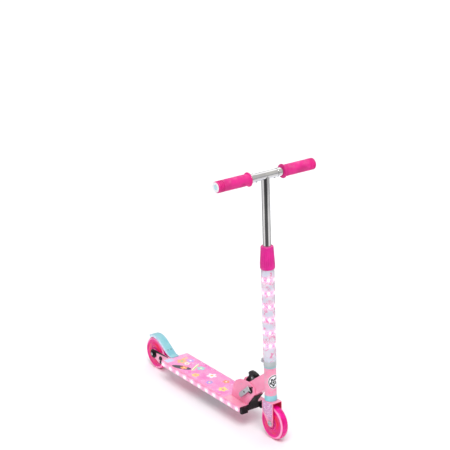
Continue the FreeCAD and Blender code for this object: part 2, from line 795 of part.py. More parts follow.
def neck():
    """Neck from the fold hinge to the head tube, with the head tube's seat cut out."""
    half = BRACKET_IN - S.run_gap
    body = new_body("neck_block")
    reach_x = COLUMN_X - 10
    pad(body, "XZ", -half, half, (
        (PIVOT_X + 13, PIVOT_Z - 12.8), (PIVOT_X + 56, PIVOT_Z + 21.5),
        (reach_x, PIVOT_Z + 23), (reach_x, PIVOT_Z + 82), (PIVOT_X + 56, PIVOT_Z + 73),
        (PIVOT_X - 12, PIVOT_Z + 21.5), (PIVOT_X - 16.5, PIVOT_Z + 6)))
    pad(body, "XZ", -half, half, discs=(((PIVOT_X, PIVOT_Z), S.neck_hub),))
    pocket(body, "XZ", -half, half, discs=(((PIVOT_X, PIVOT_Z), S.bush_dia / 2),))
    seat = rod("neck_seat", S.head_dia / 2, 0, S.head_high + 100)
    on_column(seat)
    welded = fused("neck_with_ears", [body] + latch_ears())
    node(without("neck", welded, seat), "neck")

    bush = ring("hinge_bush", S.skewer_dia / 2 + S.bore_gap, S.bush_dia / 2, -half, half)
    node(on_axle(bush, PIVOT_X, PIVOT_Z), "hinge_bush")


def head_tube():
    """Head tube, its two covers and its two bearings."""
    outer = S.head_dia / 2
    bore = S.head_bore / 2
    tube = ring("head_tube", bore, outer, S.head_low, S.head_high)
    node(on_column(tube), "head_tube")

    steerer = S.tube_dia / 2
    low = S.crown_top + S.run_gap
    cover = new_body("lower_headset_cover")
    turned(cover, ((steerer + S.run_gap, low), (outer + 1, low), (outer + 1, low + 5),
                   (outer + 0.2, S.head_low), (steerer + S.run_gap, S.head_low)))
    node(on_column(cover), "lower_headset_cover")

    top = new_body("upper_headset_cover")
    base = S.head_high + S.run_gap
    turned(top, ((steerer + S.bore_gap, base), (outer + 0.4, base),
                 (outer + 0.4, base + 3), (outer - 0.6, S.clamp_low),
                 (steerer + S.bore_gap, S.clamp_low)))
    node(on_column(top), "upper_headset_cover")

    inner = steerer + S.bore_gap
    rings = [ring("headset_bearing_low", inner, bore, S.head_low, S.head_low + S.headset_width),
             ring("headset_bearing_high", inner, bore, S.head_high - S.headset_width, S.head_high)]
    node(on_column(group("headset_bearings", rings)), "headset_bearings")


def latch_ears():
    """Two ears on the neck that carry the latch lever's pin."""
    inner = S.ear_gap / 2
    ears = []
    for side, low, high in (("right", -inner - S.ear_thick, -inner),
                            ("left", inner, inner + S.ear_thick)):
        ear = new_body("latch_ear_" + side)
        pad(ear, "XZ", low, high, (
            (PIVOT_X - 10, PIVOT_Z + 20), (PIVOT_X + 12, PIVOT_Z + 36.7),
            (PIVOT_X + 2, PIVOT_Z + 42), (PIVOT_X - 7, PIVOT_Z + 41)))
        pocket(ear, "XZ", low, high, discs=(
            ((LATCH_X, LATCH_Z), S.latch_pin_dia / 2 + S.bore_gap),))
        ears.append(ear)
    return ears


def latch():
    """Sprung latch lever on the neck, with its pin and spring."""
    half = S.latch_width / 2
    lever = new_body("latch_lever")
    pad(lever, "XZ", -half, half, (
        (PIVOT_X - 37.5, PIVOT_Z + 6), (PIVOT_X - 31, PIVOT_Z + 5),
        (PIVOT_X - 14, PIVOT_Z + 24.5), (LATCH_X + 3, LATCH_Z - 2.3),
        (PIVOT_X + 11, PIVOT_Z + 45.5), (PIVOT_X + 9, PIVOT_Z + 47.5),
        (PIVOT_X - 5, PIVOT_Z + 50.5), (PIVOT_X - 19, PIVOT_Z + 50),
        (PIVOT_X - 27, PIVOT_Z + 43), (PIVOT_X - 25, PIVOT_Z + 34),
        (PIVOT_X - 38, PIVOT_Z + 17)))
    rounded(lever, 1.0, straight_along(TO_LEFT))
    tail = BRACKET_IN - 1
    pad(lever, "XZ", -tail, tail, (
        (PIVOT_X - 37.3, PIVOT_Z + 6.2), (PIVOT_X - 31, PIVOT_Z + 5.2),
        (PIVOT_X - 28, PIVOT_Z + 11), (PIVOT_X - 35.5, PIVOT_Z + 13)))
    pin_radius = S.latch_pin_dia / 2
    pocket(lever, "XZ", -half, half, discs=(((LATCH_X, LATCH_Z), pin_radius + S.bore_gap),))
    node(lever, "latch_lever")

    pin = cross_rod("latch_pivot_pin", pin_radius, LATCH_X, LATCH_Z,
                    S.ear_gap / 2 + S.ear_thick + 1)

    wire = 0.6
    coils = []
    for turn in range(2):
        coil = DOC.addObject("Part::Torus", f"latch_coil_{turn}")
        coil.Radius2 = wire
        bind(coil, "Radius1", pin_radius + wire + S.run_gap)
        coils.append(on_axle(coil, LATCH_X, LATCH_Z, half + S.run_gap + wire * (1 + 2 * turn)))
    node(group("latch_pin_and_spring", [pin] + coils), "latch_hinge")


# ---------------------------------------------------------------- fork and column

def fork():
    """Bent fork that straddles the front wheel, drawn in the column's frame."""
    body = new_body("fork")
    pad(body, "XZ", -FORK_OUT, FORK_OUT, (
        (-S.fork_back, S.crown_top), (S.fork_front, S.crown_top),
        (S.fork_offset + S.fork_end, 0), (S.fork_offset - S.fork_end + 1, -4),
        (-S.fork_back, S.fork_knee)))
    rounded(body, 4.0, lambda edge: straight_along(TO_LEFT)(edge)
            and edge.CenterOfMass.z > number(S.fork_knee) - 1)
    pad(body, "XZ", -FORK_OUT, FORK_OUT, discs=(((S.fork_offset, 0), S.fork_end),))
    pocket(body, "XZ", -FORK_IN, FORK_IN, (
        (-S.fork_back - 5, CROWN_LOW), (S.fork_front + 5, CROWN_LOW),
        (S.fork_front + 5, -S.fork_end - 5), (-S.fork_back - 5, -S.fork_end - 5)))
    pocket(body, "XZ", -FORK_OUT, FORK_OUT, discs=(
        ((S.fork_offset, 0), S.axle_dia / 2 + S.bore_gap),))
    pocket(body, "XY", CROWN_LOW, S.crown_top, discs=(((0, 0), S.tube_bore / 2),))
    node(on_column(body), "fork")


def column():
    """Steerer, column tube, clamp, casing, light carrier, lights, switch and cells."""
    steerer = S.tube_dia / 2
    tube = ring("steerer_tube", S.tube_bore / 2, steerer, S.crown_top, S.steerer_top)
    node(on_column(tube), "steerer_tube")

    outer = S.column_dia / 2
    bore = S.column_bore / 2
    body = ring("column_tube", bore, outer, S.clamp_low, S.column_top)
    node(on_column(body), "column_tube")

    clamp = new_body("column_clamp")
    wall = outer + S.clamp_wall
    pad(clamp, "XY", S.clamp_low, CLAMP_HIGH, discs=(((0, 0), wall),))
    ear = 6.5
    pad(clamp, "XY", S.clamp_low + 1.5, CLAMP_HIGH - 1.5, (
        (-S.clamp_reach, -ear), (0, -ear), (0, ear), (-S.clamp_reach, ear)))
    pocket(clamp, "XY", S.clamp_low, CLAMP_HIGH, discs=(((0, 0), outer),))
    slot = 1.2
    pocket(clamp, "XY", S.clamp_low, CLAMP_HIGH, (
        (-S.clamp_reach - 1, -slot), (-outer + 1, -slot), (-outer + 1, slot),
        (-S.clamp_reach - 1, slot)))
    bolt_x = -S.clamp_reach + 6
    bolt_z = S.clamp_low + S.clamp_height / 2
    bolt = 2.5
    pocket(clamp, "XZ", -ear, ear, discs=(((bolt_x, bolt_z), bolt + S.bore_gap),))
    node(on_column(clamp), "column_clamp")

    screw = new_body("clamp_bolt")
    pad(screw, "XZ", -ear - 4, -ear, discs=(((bolt_x, bolt_z), 4.2),))
    pad(screw, "XZ", -ear, ear, discs=(((bolt_x, bolt_z), bolt),))
    pad(screw, "XZ", ear, ear + 3.5, discs=(((bolt_x, bolt_z), 4.2),))
    node(on_column(screw), "clamp_bolt")

    shell = S.casing_dia / 2
    inside = shell - S.casing_wall
    lip = 2.0
    low = CLAMP_HIGH
    case = new_body("light_casing")
    turned(case, (
        (outer + 0.1, low), (shell, low), (shell, S.casing_top), (outer + 0.1, S.casing_top),
        (outer + 0.1, S.casing_top - lip), (inside, S.casing_top - lip),
        (inside, low + lip), (outer + 0.1, low + lip)))
    switch = S.switch_dia / 2
    pocket(case, "YZ", -shell - 1, -shell + 4, discs=(
        ((0, S.column_switch_at), switch + S.run_gap),))
    node(on_column(case), "light_casing")

    face = outer + S.sleeve_wall
    sleeve = ring("light_carrier", outer, face, low + lip, S.casing_top - lip)
    node(on_column(sleeve), "light_carrier")
    lights = [column_light(level, step, face) for level in range(COLUMN_RINGS)
              for step in range(LEDS_PER_RING)]
    node(on_column(group("column_lights", lights)), "column_lights")

    button = new_body("column_switch_button")
    inner_face = face + 1.2
    turned(button, ((0, inner_face), (switch, inner_face), (switch, shell + 1.2),
                    (switch - 1, shell + 2), (0, shell + 2)))
    up = S.column_switch_at
    place = (COLUMN_X - up * sine(S.rake), 0, COLUMN_Z + up * cosine(S.rake))
    node(stand(button, place, TO_RIGHT, S.rake + 90), "column_switch_button")

    carrier_bore = S.cell_dia / 2 + S.run_gap
    carrier_low = CROWN_LOW
    carrier_top = S.steerer_top - 6
    carrier = new_body("column_cell_carrier")
    carrier_outer = S.tube_bore / 2 - S.bore_gap
    turned(carrier, (
        (0, carrier_low), (carrier_outer, carrier_low), (carrier_outer, carrier_top),
        (carrier_bore, carrier_top), (carrier_bore, carrier_low + 4), (0, carrier_low + 4)))
    node(on_column(carrier), "column_cell_carrier")

    cells = []
    for index in range(3):
        start = carrier_low + 4.5 + (S.cell_length + 0.5) * index
        cells.append(rod(f"column_cell_{index}", S.cell_dia / 2, start, start + S.cell_length))
    node(on_column(group("column_cells", cells)), "column_cells")


def column_light(level, step, face):
    """One light on the column's carrier sleeve."""
    height = S.ring_first + S.ring_pitch * level
    angle = 360.0 / LEDS_PER_RING * step + 90
    item = DOC.addObject("Part::Box", f"column_led_{level}_{step}")
    item.Length = 1.2
    item.Width = 3.5
    item.Height = 3.5
    turn = FreeCAD.Rotation(UP, angle)
    start = turn.multVec(FreeCAD.Vector(number(face), -1.75, 0))
    start.z = number(height) - 1.75
    item.Placement = FreeCAD.Placement(start, turn)
    item.setExpression(".Placement.Base.x",
                       f"{face.text} * cos({angle}) + 1.75 * sin({angle})")
    item.setExpression(".Placement.Base.y",
                       f"{face.text} * sin({angle}) - 1.75 * cos({angle})")
    item.setExpression(".Placement.Base.z", (height - 1.75).text)
    return item


def lock_collar():
    """Twist collar and the split ferrule that it squeezes on the stem."""
    low = S.casing_top + S.run_gap
    body = new_body("lock_collar")
    sleeve = S.column_dia / 2 + S.run_gap
    ferrule_top = S.collar_top - S.ferrule_drop
    turned(body, (
        (sleeve, low), (S.collar_low_dia / 2 - 2, low), (S.collar_low_dia / 2, low + 4),
        (S.collar_low_dia / 2, low + 14), (S.collar_top_dia / 2, S.collar_top - 2),
        (S.collar_top_dia / 2 - 2, S.collar_top), (sleeve, S.collar_top)))
    node(on_column(body), "lock_collar")

    ferrule = new_body("collar_ferrule")
    inner = S.tube_dia / 2 + S.bore_gap
    outer = S.column_dia / 2
    pad(ferrule, "XY", S.column_top, ferrule_top, discs=(
        ((0, 0), outer), ((0, 0), inner)))
    pocket(ferrule, "XY", S.column_top, ferrule_top, (
        (-outer - 1, -1), (0, -1), (0, 1), (-outer - 1, 1)))
    node(on_column(ferrule), "collar_ferrule")


# ---------------------------------------------------------------- T-bar

def t_bar():
    """Chrome T in one piece: stem, crossbar and socket sleeves, with the buttons' holes."""
    radius = S.tube_dia / 2
    bore = S.tube_bore / 2
    stem = new_body("t_bar_tube")
    pad(stem, "XY", S.stem_low, S.bar_height, discs=(((0, 0), radius),))
    pad(stem, "XZ", -S.bar_reach, S.bar_reach, discs=(((0, S.bar_height), radius),))
    for low, high in ((-S.bar_reach, -S.socket_reach), (S.socket_reach, S.bar_reach)):
        pad(stem, "XZ", low, high, discs=(((0, S.bar_height), S.socket_dia / 2),))
    rounded(stem, 0.8, circles_of(S.socket_dia / 2))
    pocket(stem, "XY", S.stem_low, S.bar_height - radius, discs=(((0, 0), bore),))
    pocket(stem, "XZ", -S.bar_reach, S.bar_reach, discs=(((0, S.bar_height), bore),))
    hole = S.snap_dia / 2 + S.run_gap
    pocket(stem, "XY", S.bar_height - radius - 2, S.bar_height - 4, discs=(
        ((0, S.snap_at), hole), ((0, -S.snap_at), hole)))
    node(on_column(stem), "t_bar")


def handle(side_name, side):
    """Grip and snap button on one side; returns its handle tube and its end plug."""
    tube_radius = S.handle_dia / 2
    wall = 1.6

    def span(near, far):
        """Order a near and a far distance along Y for this side."""
        return (near, far) if side > 0 else (-far, -near)

    tube = new_body(side_name + "_handle_tube")
    low, high = span(S.handle_start, S.grip_end - 1)
    pad(tube, "XZ", low, high, discs=(
        ((0, S.bar_height), tube_radius), ((0, S.bar_height), tube_radius - wall)))
    pocket(tube, "XY", S.bar_height - tube_radius - 1, S.bar_height - 4, discs=(
        ((0, S.snap_at * side), S.snap_dia / 2 + S.run_gap),))

    grip = new_body(side_name + "_grip")
    low, high = span(S.grip_start, S.grip_end)
    pad(grip, "XZ", low, high, discs=(((0, S.bar_height), S.grip_dia / 2),))
    low, high = span(S.grip_start, S.grip_start + 4)
    pad(grip, "XZ", low, high, discs=(((0, S.bar_height), S.flange_dia / 2),))
    rounded(grip, 1.2, circles_of(S.flange_dia / 2))
    low, high = span(S.grip_start, S.grip_end)
    pocket(grip, "XZ", low, high, discs=(((0, S.bar_height), tube_radius + S.bore_gap),))
    rounded(grip, 2.0, circles_of(S.grip_dia / 2))
    node(on_column(grip), side_name + "_grip")

    plug = new_body(side_name + "_grip_plug")
    low, high = span(S.grip_end, S.grip_end + S.plug_thick)
    pad(plug, "XZ", low, high, discs=(((0, S.bar_height), S.plug_dia / 2),))
    rounded(plug, 0.8, lambda edge: circles_of(S.plug_dia / 2)(edge)
            and abs(edge.CenterOfMass.y) > number(S.grip_end) + 1)
    low, high = span(S.grip_end - 12, S.grip_end)
    pad(plug, "XZ", low, high, discs=(((0, S.bar_height), tube_radius - wall - 0.1),))

    button = new_body(side_name + "_snap_button")
    radius = S.snap_dia / 2
    face = S.tube_dia / 2
    turned(button, ((0, -face - 2.5), (radius - 1.2, -face - 2.2), (radius, -face - 0.8),
                    (radius, -face + 5.5), (0, -face + 5.5)))
    up = S.bar_height
    place = (COLUMN_X - up * sine(S.rake), S.snap_at * side, COLUMN_Z + up * cosine(S.rake))
    node(stand(button, place, TO_RIGHT, S.rake), side_name + "_snap_button")
    return tube, plug


def handles():
    """Both handles, with their tubes and their end plugs."""
    right_tube, right_plug = handle("right", -1)
    left_tube, left_plug = handle("left", 1)
    node(on_column(group("tubes", [right_tube, left_tube])), "handle_tubes")
    node(on_column(group("plugs", [right_plug, left_plug])), "grip_plugs")


# ---------------------------------------------------------------- rear end

def rear_end():
    """Dropouts, axle rings and fender brake; returns the dropouts' caps."""
    plate = (
        (REAR_X - 9, AXLE_Z + 10), (REAR_X - 9, AXLE_Z - 10), (REAR_X + 30, AXLE_Z - 22),
        (REAR_X + 50, AXLE_Z - 20), (DECK_REAR + 10, DECK_LOW + 2), (DECK_REAR + 50, DECK_LOW + 4),
        (DECK_REAR + 50, DECK_CEILING), (DECK_REAR - 12, DECK_CEILING),
    )
    end_radius = 13.5
    holes = (
        ((REAR_X, AXLE_Z), S.axle_dia / 2 + S.bore_gap),
        ((FENDER_PIN_X, FENDER_PIN_Z), S.fender_pin_dia / 2),
    )
    dropouts = []
    for name, low, high in (("right", -FORK_OUT, -FORK_IN), ("left", FORK_IN, FORK_OUT)):
        body = new_body(name + "_dropout")
        pad(body, "XZ", low, high, plate)
        pad(body, "XZ", low, high, discs=(((REAR_X, AXLE_Z), end_radius),))
        pocket(body, "XZ", low, high, discs=holes)
        dropouts.append(body)
    node(group("dropouts", dropouts), "rear_dropouts")

    caps = []
    for side in (-1, 1):
        for x, z, radius in ((REAR_X + 38, AXLE_Z - 3, 6.5), (REAR_X + 40, AXLE_Z - 15, 5.0)):
            cap = rod(f"dropout_cap_{len(caps)}", radius, 0, 3.5)
            face = FORK_OUT if side > 0 else -FORK_OUT - 3.5
            caps.append(on_axle(cap, x, z, face))

    rings = []
    for side, low, high in (("right", -FORK_OUT - 3, -FORK_OUT), ("left", FORK_OUT, FORK_OUT + 3)):
        rings.append(ring("axle_ring_" + side, S.axle_dia / 2 + S.bore_gap, 13.5, low, high))
    node(on_axle(group("axle_rings", rings), REAR_X), "rear_axle_rings")
    fender()
    return caps


def fender():
    """Fender brake: an eye on the hinge pin, a straight rise and an arc over the tyre."""
    half = S.fender_width / 2
    reach = AXLE_Z + S.fender_gap
    rise = (FENDER_PIN_X - 4.5, FENDER_PIN_Z)
    inner = [(REAR_X + reach * math.cos(math.radians(turn)),
              AXLE_Z + reach * math.sin(math.radians(turn))) for turn in range(48, 133, 12)]
    outer_reach = reach + S.fender_thick
    outer = [(REAR_X + outer_reach * math.cos(math.radians(turn)),
              AXLE_Z + outer_reach * math.sin(math.radians(turn))) for turn in range(48, 133, 12)]
    points = [rise] + inner + outer[::-1] + [(FENDER_PIN_X - 2.3, FENDER_PIN_Z + 2.5)]
    body = new_body("fender_brake")
    pad(body, "XZ", -half, half, points)
    pin = (FENDER_PIN_X, FENDER_PIN_Z)
    pad(body, "XZ", -half, half, discs=((pin, S.fender_eye / 2),))
    pocket(body, "XZ", -half, half, discs=((pin, S.fender_pin_dia / 2 + S.bore_gap),))
    spring_half = 5.0
    gap = S.fender_eye / 2 + 1
    pocket(body, "XZ", -spring_half, spring_half, (
        (FENDER_PIN_X - gap, FENDER_PIN_Z - gap), (FENDER_PIN_X + gap, FENDER_PIN_Z - gap),
        (FENDER_PIN_X + gap, FENDER_PIN_Z + gap), (FENDER_PIN_X - gap, FENDER_PIN_Z + gap)))
    node(body, "fender_brake")

    hinge = cross_rod("fender_hinge_pin", S.fender_pin_dia / 2, FENDER_PIN_X, FENDER_PIN_Z,
                      FORK_OUT + 1)

    wire = 0.7
    coils = []
    for turn in range(6):
        coil = DOC.addObject("Part::Torus", f"fender_coil_{turn}")
        coil.Radius2 = wire
        bind(coil, "Radius1", S.fender_pin_dia / 2 + wire + S.run_gap)
        coils.append(on_axle(coil, FENDER_PIN_X, FENDER_PIN_Z, wire * (2 * turn - 5)))
    node(group("fender_pin_and_spring", [hinge] + coils), "fender_hinge")


# ---------------------------------------------------------------- checks and export

def check_document():
    """Stop if any object failed."""
    failed = [item.Label for item in DOC.Objects
              if "Invalid" in item.State or "Error" in item.State]
    if failed:
        raise RuntimeError("failed objects: " + ", ".join(failed))


def write_parts():
    """Write each piece to its own file."""
    os.makedirs("parts", exist_ok=True)
    for item in NODES:
        shape = item.Shape
        if shape.isNull() or not shape.isValid() or not shape.Solids:
            raise RuntimeError(f"{item.Label}: bad shape")
        shape.exportStep(f"parts/{item.Label}.step")
    print(len(NODES), "parts")


def main():
    """Build every piece and write the parts folder."""
    wheel("front", FRONT_X)
    wheel("rear", REAR_X)
    axle_set("front", FRONT_X, FORK_OUT)
    axle_set("rear", REAR_X, FORK_OUT + 3)
    deck()
    light_strips()
    lid_screws = battery_bay()
    base_screws, bracket_rivets = bracket()
    node(group("screws", lid_screws + base_screws), "deck_screws")
    quick_release()
    neck()
    head_tube()
    latch()
    fork()
    column()
    lock_collar()
    t_bar()
    handles()
    dropout_caps = rear_end()
    node(group("rivets", bracket_rivets + dropout_caps), "frame_rivets")
    DOC.recompute()
    check_document()
    write_parts()


main()
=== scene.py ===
"""Visual model of a children's folding kick scooter with lights, in metres.

Frame: +X forward, +Y to the rider's left, +Z up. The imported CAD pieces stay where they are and
get their finishes; tyres, hubs, grips, collar, light casing, fender and printed pieces are made
here as detailed meshes in the places that the CAD gives them.
"""

import json
import logging
import math
from dataclasses import dataclass, field
from enum import Enum
from typing import Callable, Mapping, Optional, Protocol, Sequence, Union

import bmesh
import bpy
from mathutils import Matrix, Vector

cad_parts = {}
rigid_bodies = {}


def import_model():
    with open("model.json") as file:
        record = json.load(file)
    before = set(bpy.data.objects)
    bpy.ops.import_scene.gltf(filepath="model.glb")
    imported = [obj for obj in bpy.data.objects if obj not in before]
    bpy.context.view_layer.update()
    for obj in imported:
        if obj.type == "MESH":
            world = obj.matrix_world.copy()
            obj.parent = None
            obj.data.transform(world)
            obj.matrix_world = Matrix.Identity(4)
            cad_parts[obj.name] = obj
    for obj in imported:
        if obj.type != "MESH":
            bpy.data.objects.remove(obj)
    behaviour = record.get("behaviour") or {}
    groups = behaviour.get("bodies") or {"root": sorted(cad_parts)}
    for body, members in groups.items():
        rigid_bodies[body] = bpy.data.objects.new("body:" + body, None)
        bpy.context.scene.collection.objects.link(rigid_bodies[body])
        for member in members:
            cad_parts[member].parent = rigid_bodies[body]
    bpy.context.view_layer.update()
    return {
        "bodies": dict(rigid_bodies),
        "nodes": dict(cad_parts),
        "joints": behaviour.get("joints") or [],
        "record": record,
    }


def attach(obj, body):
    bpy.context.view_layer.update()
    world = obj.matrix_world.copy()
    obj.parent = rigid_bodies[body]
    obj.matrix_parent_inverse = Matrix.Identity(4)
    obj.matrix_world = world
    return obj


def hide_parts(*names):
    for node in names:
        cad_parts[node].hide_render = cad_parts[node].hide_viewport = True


LOG = logging.getLogger("kick_scooter")
MM = 0.001
TAU = 2.0 * math.pi
SIDES = (("right", -1), ("left", 1))
VECTOR_NUMBERS = ("DOT_PRODUCT", "LENGTH")
MIX_INPUTS = (0, 6, 7)
MIX_COLOUR = 2
SCREEN_STEPS = 255.0

Socket = bpy.types.NodeSocket
Node = bpy.types.Node
Piece = bpy.types.Object
Mesh = bmesh.types.BMesh
Point = tuple[float, float]
Wave = Callable[[float, float, float], float]


# ------------------------------------------------------------------ the column's frame

@dataclass(frozen=True)
class ColumnFrame:
    """The leaning column's own frame: its zero is level with the front axle."""

    lean: float = 3.0
    offset: float = 15.3
    axle_x: float = 290.0
    axle_z: float = 50.0

    def matrix(self) -> Matrix:
        """The matrix from the column's frame to the scooter's, in metres.

        Returns:
            The matrix.
        """
        angle = math.radians(self.lean)
        place = Vector((self.axle_x - self.offset * math.cos(angle), 0.0,
                        self.axle_z - self.offset * math.sin(angle))) * MM
        return Matrix.Translation(place) @ Matrix.Rotation(-angle, 4, "Y")


# ------------------------------------------------------------------ colours and shader steps

@dataclass(frozen=True)
class Tint:
    """A colour as it looks on a screen, in steps of 0 to 255."""

    red: int
    green: int
    blue: int

    def linear(self) -> tuple[float, ...]:
        """The colour in linear light, with full alpha.

        Returns:
            Red, green, blue and alpha.
        """
        shares = [step / SCREEN_STEPS for step in (self.red, self.green, self.blue)]
        return (*(share / 12.92 if share <= 0.04045 else ((share + 0.055) / 1.055) ** 2.4
                  for share in shares), 1.0)


Value = Union["Wire", Tint, float, tuple, None]
Wires = dict[str, "Wire"]
Surface = dict[str, Value]

BUBBLEGUM = Tint(250, 148, 183)
BUBBLEGUM_DEEP = Tint(244, 130, 170)
INK = Tint(14, 12, 16)
STEEL_GREY = Tint(196, 196, 200)
DUST = Tint(226, 220, 214)
WHITE = Tint(246, 246, 248)


@dataclass(frozen=True)
class Wire:
    """A value in a shader; arithmetic on it places and links the nodes."""

    bench: "Bench"
    socket: Socket

    def step(self, operation: str, other: Value = 0.0, third: Value = None,
             clamp: bool = False) -> "Wire":
        """One arithmetic step.

        Args:
            operation: Blender's name of the operation.
            other: Second number.
            third: Third number, where the operation has one.
            clamp: Keep the result between 0 and 1.

        Returns:
            The result.
        """
        return self.bench.sums(operation, self, other, third, clamp)

    def __add__(self, other: Value) -> "Wire":
        """The sum."""
        return self.step("ADD", other)

    def __sub__(self, other: Value) -> "Wire":
        """The difference."""
        return self.step("SUBTRACT", other)

    def __rsub__(self, other: float) -> "Wire":
        """What is left of a number."""
        return self.bench.sums("SUBTRACT", other, self)

    def __mul__(self, other: Value) -> "Wire":
        """The product."""
        return self.step("MULTIPLY", other)

    def __truediv__(self, other: Value) -> "Wire":
        """The quotient."""
        return self.step("DIVIDE", other)

    def __abs__(self) -> "Wire":
        """The distance from zero."""
        return self.step("ABSOLUTE")


@dataclass(frozen=True)
class Bench:
    """Places and links shader nodes in one node tree."""

    tree: bpy.types.NodeTree

    def supply(self, node: Node, values: Mapping[Union[int, str], Value]) -> None:
        """Link a node's inputs, or set their numbers and colours; None leaves one alone.

        Args:
            node: The node.
            values: What its inputs get, by number or name.
        """
        for key, value in values.items():
            if isinstance(value, Wire):
                self.tree.links.new(value.socket, node.inputs[key])
            elif value is not None:
                node.inputs[key].default_value = (value.linear() if isinstance(value, Tint)
                                                  else value)

    def add(self, kind: str, values: Mapping[Union[int, str], Value],
            **settings: object) -> Node:
        """Add a node.

        Args:
            kind: Blender's name of the node type.
            values: What its inputs get, by number or name.
            settings: The node's own properties.

        Returns:
            The new node.
        """
        node = self.tree.nodes.new(kind)
        for key, setting in settings.items():
            setattr(node, key, setting)
        self.supply(node, values)
        return node

    def take(self, kind: str, output: Union[int, str], values: Optional[Mapping] = None,
             **settings: object) -> Wire:
        """Add a node as add() does, and take one of its outputs."""
        return Wire(self, self.add(kind, values or {}, **settings).outputs[output])

    def sums(self, operation: str, first: Value, second: Value = 0.0, third: Value = None,
             clamp: bool = False) -> Wire:
        """One arithmetic step on up to three numbers; see Wire.step()."""
        return self.take("ShaderNodeMath", 0, {0: first, 1: second, 2: third},
                         operation=operation, use_clamp=clamp)

    def vectors(self, operation: str, first: Value, second: Value = None) -> Wire:
        """One vector step.

        Args:
            operation: Blender's name of the operation.
            first: First value.
            second: Second value.

        Returns:
            The result.
        """
        output = "Value" if operation in VECTOR_NUMBERS else "Vector"
        return self.take("ShaderNodeVectorMath", output, {0: first, 1: second},
                         operation=operation)

    def blend(self, factor: Value, first: Value, second: Value) -> Wire:
        """Mix two colours, with the factor as the share of the second.

        Args:
            factor: Share of the second colour.
            first: Colour at 0.
            second: Colour at 1.

        Returns:
            The result.
        """
        return self.take("ShaderNodeMix", MIX_COLOUR,
                         dict(zip(MIX_INPUTS, (factor, first, second))),
                         data_type="RGBA", blend_type="MIX", clamp_factor=True)

    def layers(self, ground: Value, *coats: tuple[Value, Value]) -> Value:
        """Lay colours over a ground.

        Args:
            ground: The colour below.
            coats: Mask and colour of each coat, from the lowest.

        Returns:
            The colour on top.
        """
        for mask, tint in coats:
            ground = self.blend(mask, ground, tint)
        return ground

    def ramp(self, value: Value, low: float, high: float, start: float = 0.0,
             end: float = 1.0) -> Wire:
        """A smooth rise from one number to another.

        Args:
            value: What is mapped.
            low: Where the rise starts.
            high: Where the rise ends.
            start: Result at and before the start.
            end: Result at and after the end.

        Returns:
            The result.
        """
        return self.take("ShaderNodeMapRange", 0,
                         dict(enumerate((value, low, high, start, end))),
                         interpolation_type="SMOOTHSTEP")

    def noise(self, vector: Value, scale: Value, detail: float = 2.0,
              twist: float = 0.0) -> Wire:
        """Soft noise between 0 and 1."""
        return self.take("ShaderNodeTexNoise", "Fac", {
            "Vector": vector, "Scale": scale, "Detail": detail, "Distortion": twist})

    def cells(self, vector: Value, scale: Value) -> Wires:
        """Scattered cells, with the outputs Distance and Color."""
        return self.wires(self.add("ShaderNodeTexVoronoi", {"Vector": vector, "Scale": scale}))

    def wires(self, node: Node) -> Wires:
        """A node's outputs by name."""
        return {socket.name: Wire(self, socket) for socket in node.outputs}

    def split(self, vector: Value) -> tuple[Wire, ...]:
        """The three parts of a vector."""
        return tuple(self.wires(self.add("ShaderNodeSeparateXYZ", {0: vector})).values())

    def away(self, first: Wire, second: Wire) -> Wire:
        """The length of two sides at a right angle."""
        return (first * first + second * second).step("SQRT")

    def climb(self, place: Wire, start: Sequence[float], lean: float) -> Wire:
        """How far a place lies past a start, in a direction that leans back from upright.

        Args:
            place: The place on the piece.
            start: Where the measure starts, in metres.
            lean: Degrees from upright.

        Returns:
            The distance, in metres.
        """
        angle = math.radians(lean)
        return self.vectors("DOT_PRODUCT", self.vectors("SUBTRACT", place, tuple(start)),
                            (-math.sin(angle), 0.0, math.cos(angle)))

    def bump(self, height: Wire, strength: float, distance: float = 0.0004) -> Wire:
        """A shading normal from a relief whose depth is in metres."""
        return self.take("ShaderNodeBump", 0, {
            "Strength": strength, "Distance": distance, "Height": height})

    def effect(self, group: bpy.types.NodeTree, **values: Value) -> Wires:
        """Place a shared effect and give its outputs by name."""
        return self.wires(self.add("ShaderNodeGroup", values, node_tree=group))

    def mask(self, group: bpy.types.NodeTree, place: Wire, amount: float) -> Wire:
        """Place a shared effect that has one output."""
        return next(iter(self.effect(group, Place=place, Amount=amount).values()))

    def spot(self) -> Wire:
        """The place on the piece, in metres."""
        return self.take("ShaderNodeTexCoord", "Object")

    def unrolled(self) -> Wire:
        """The place on the piece's unrolled surface."""
        return self.take("ShaderNodeTexCoord", "UV")


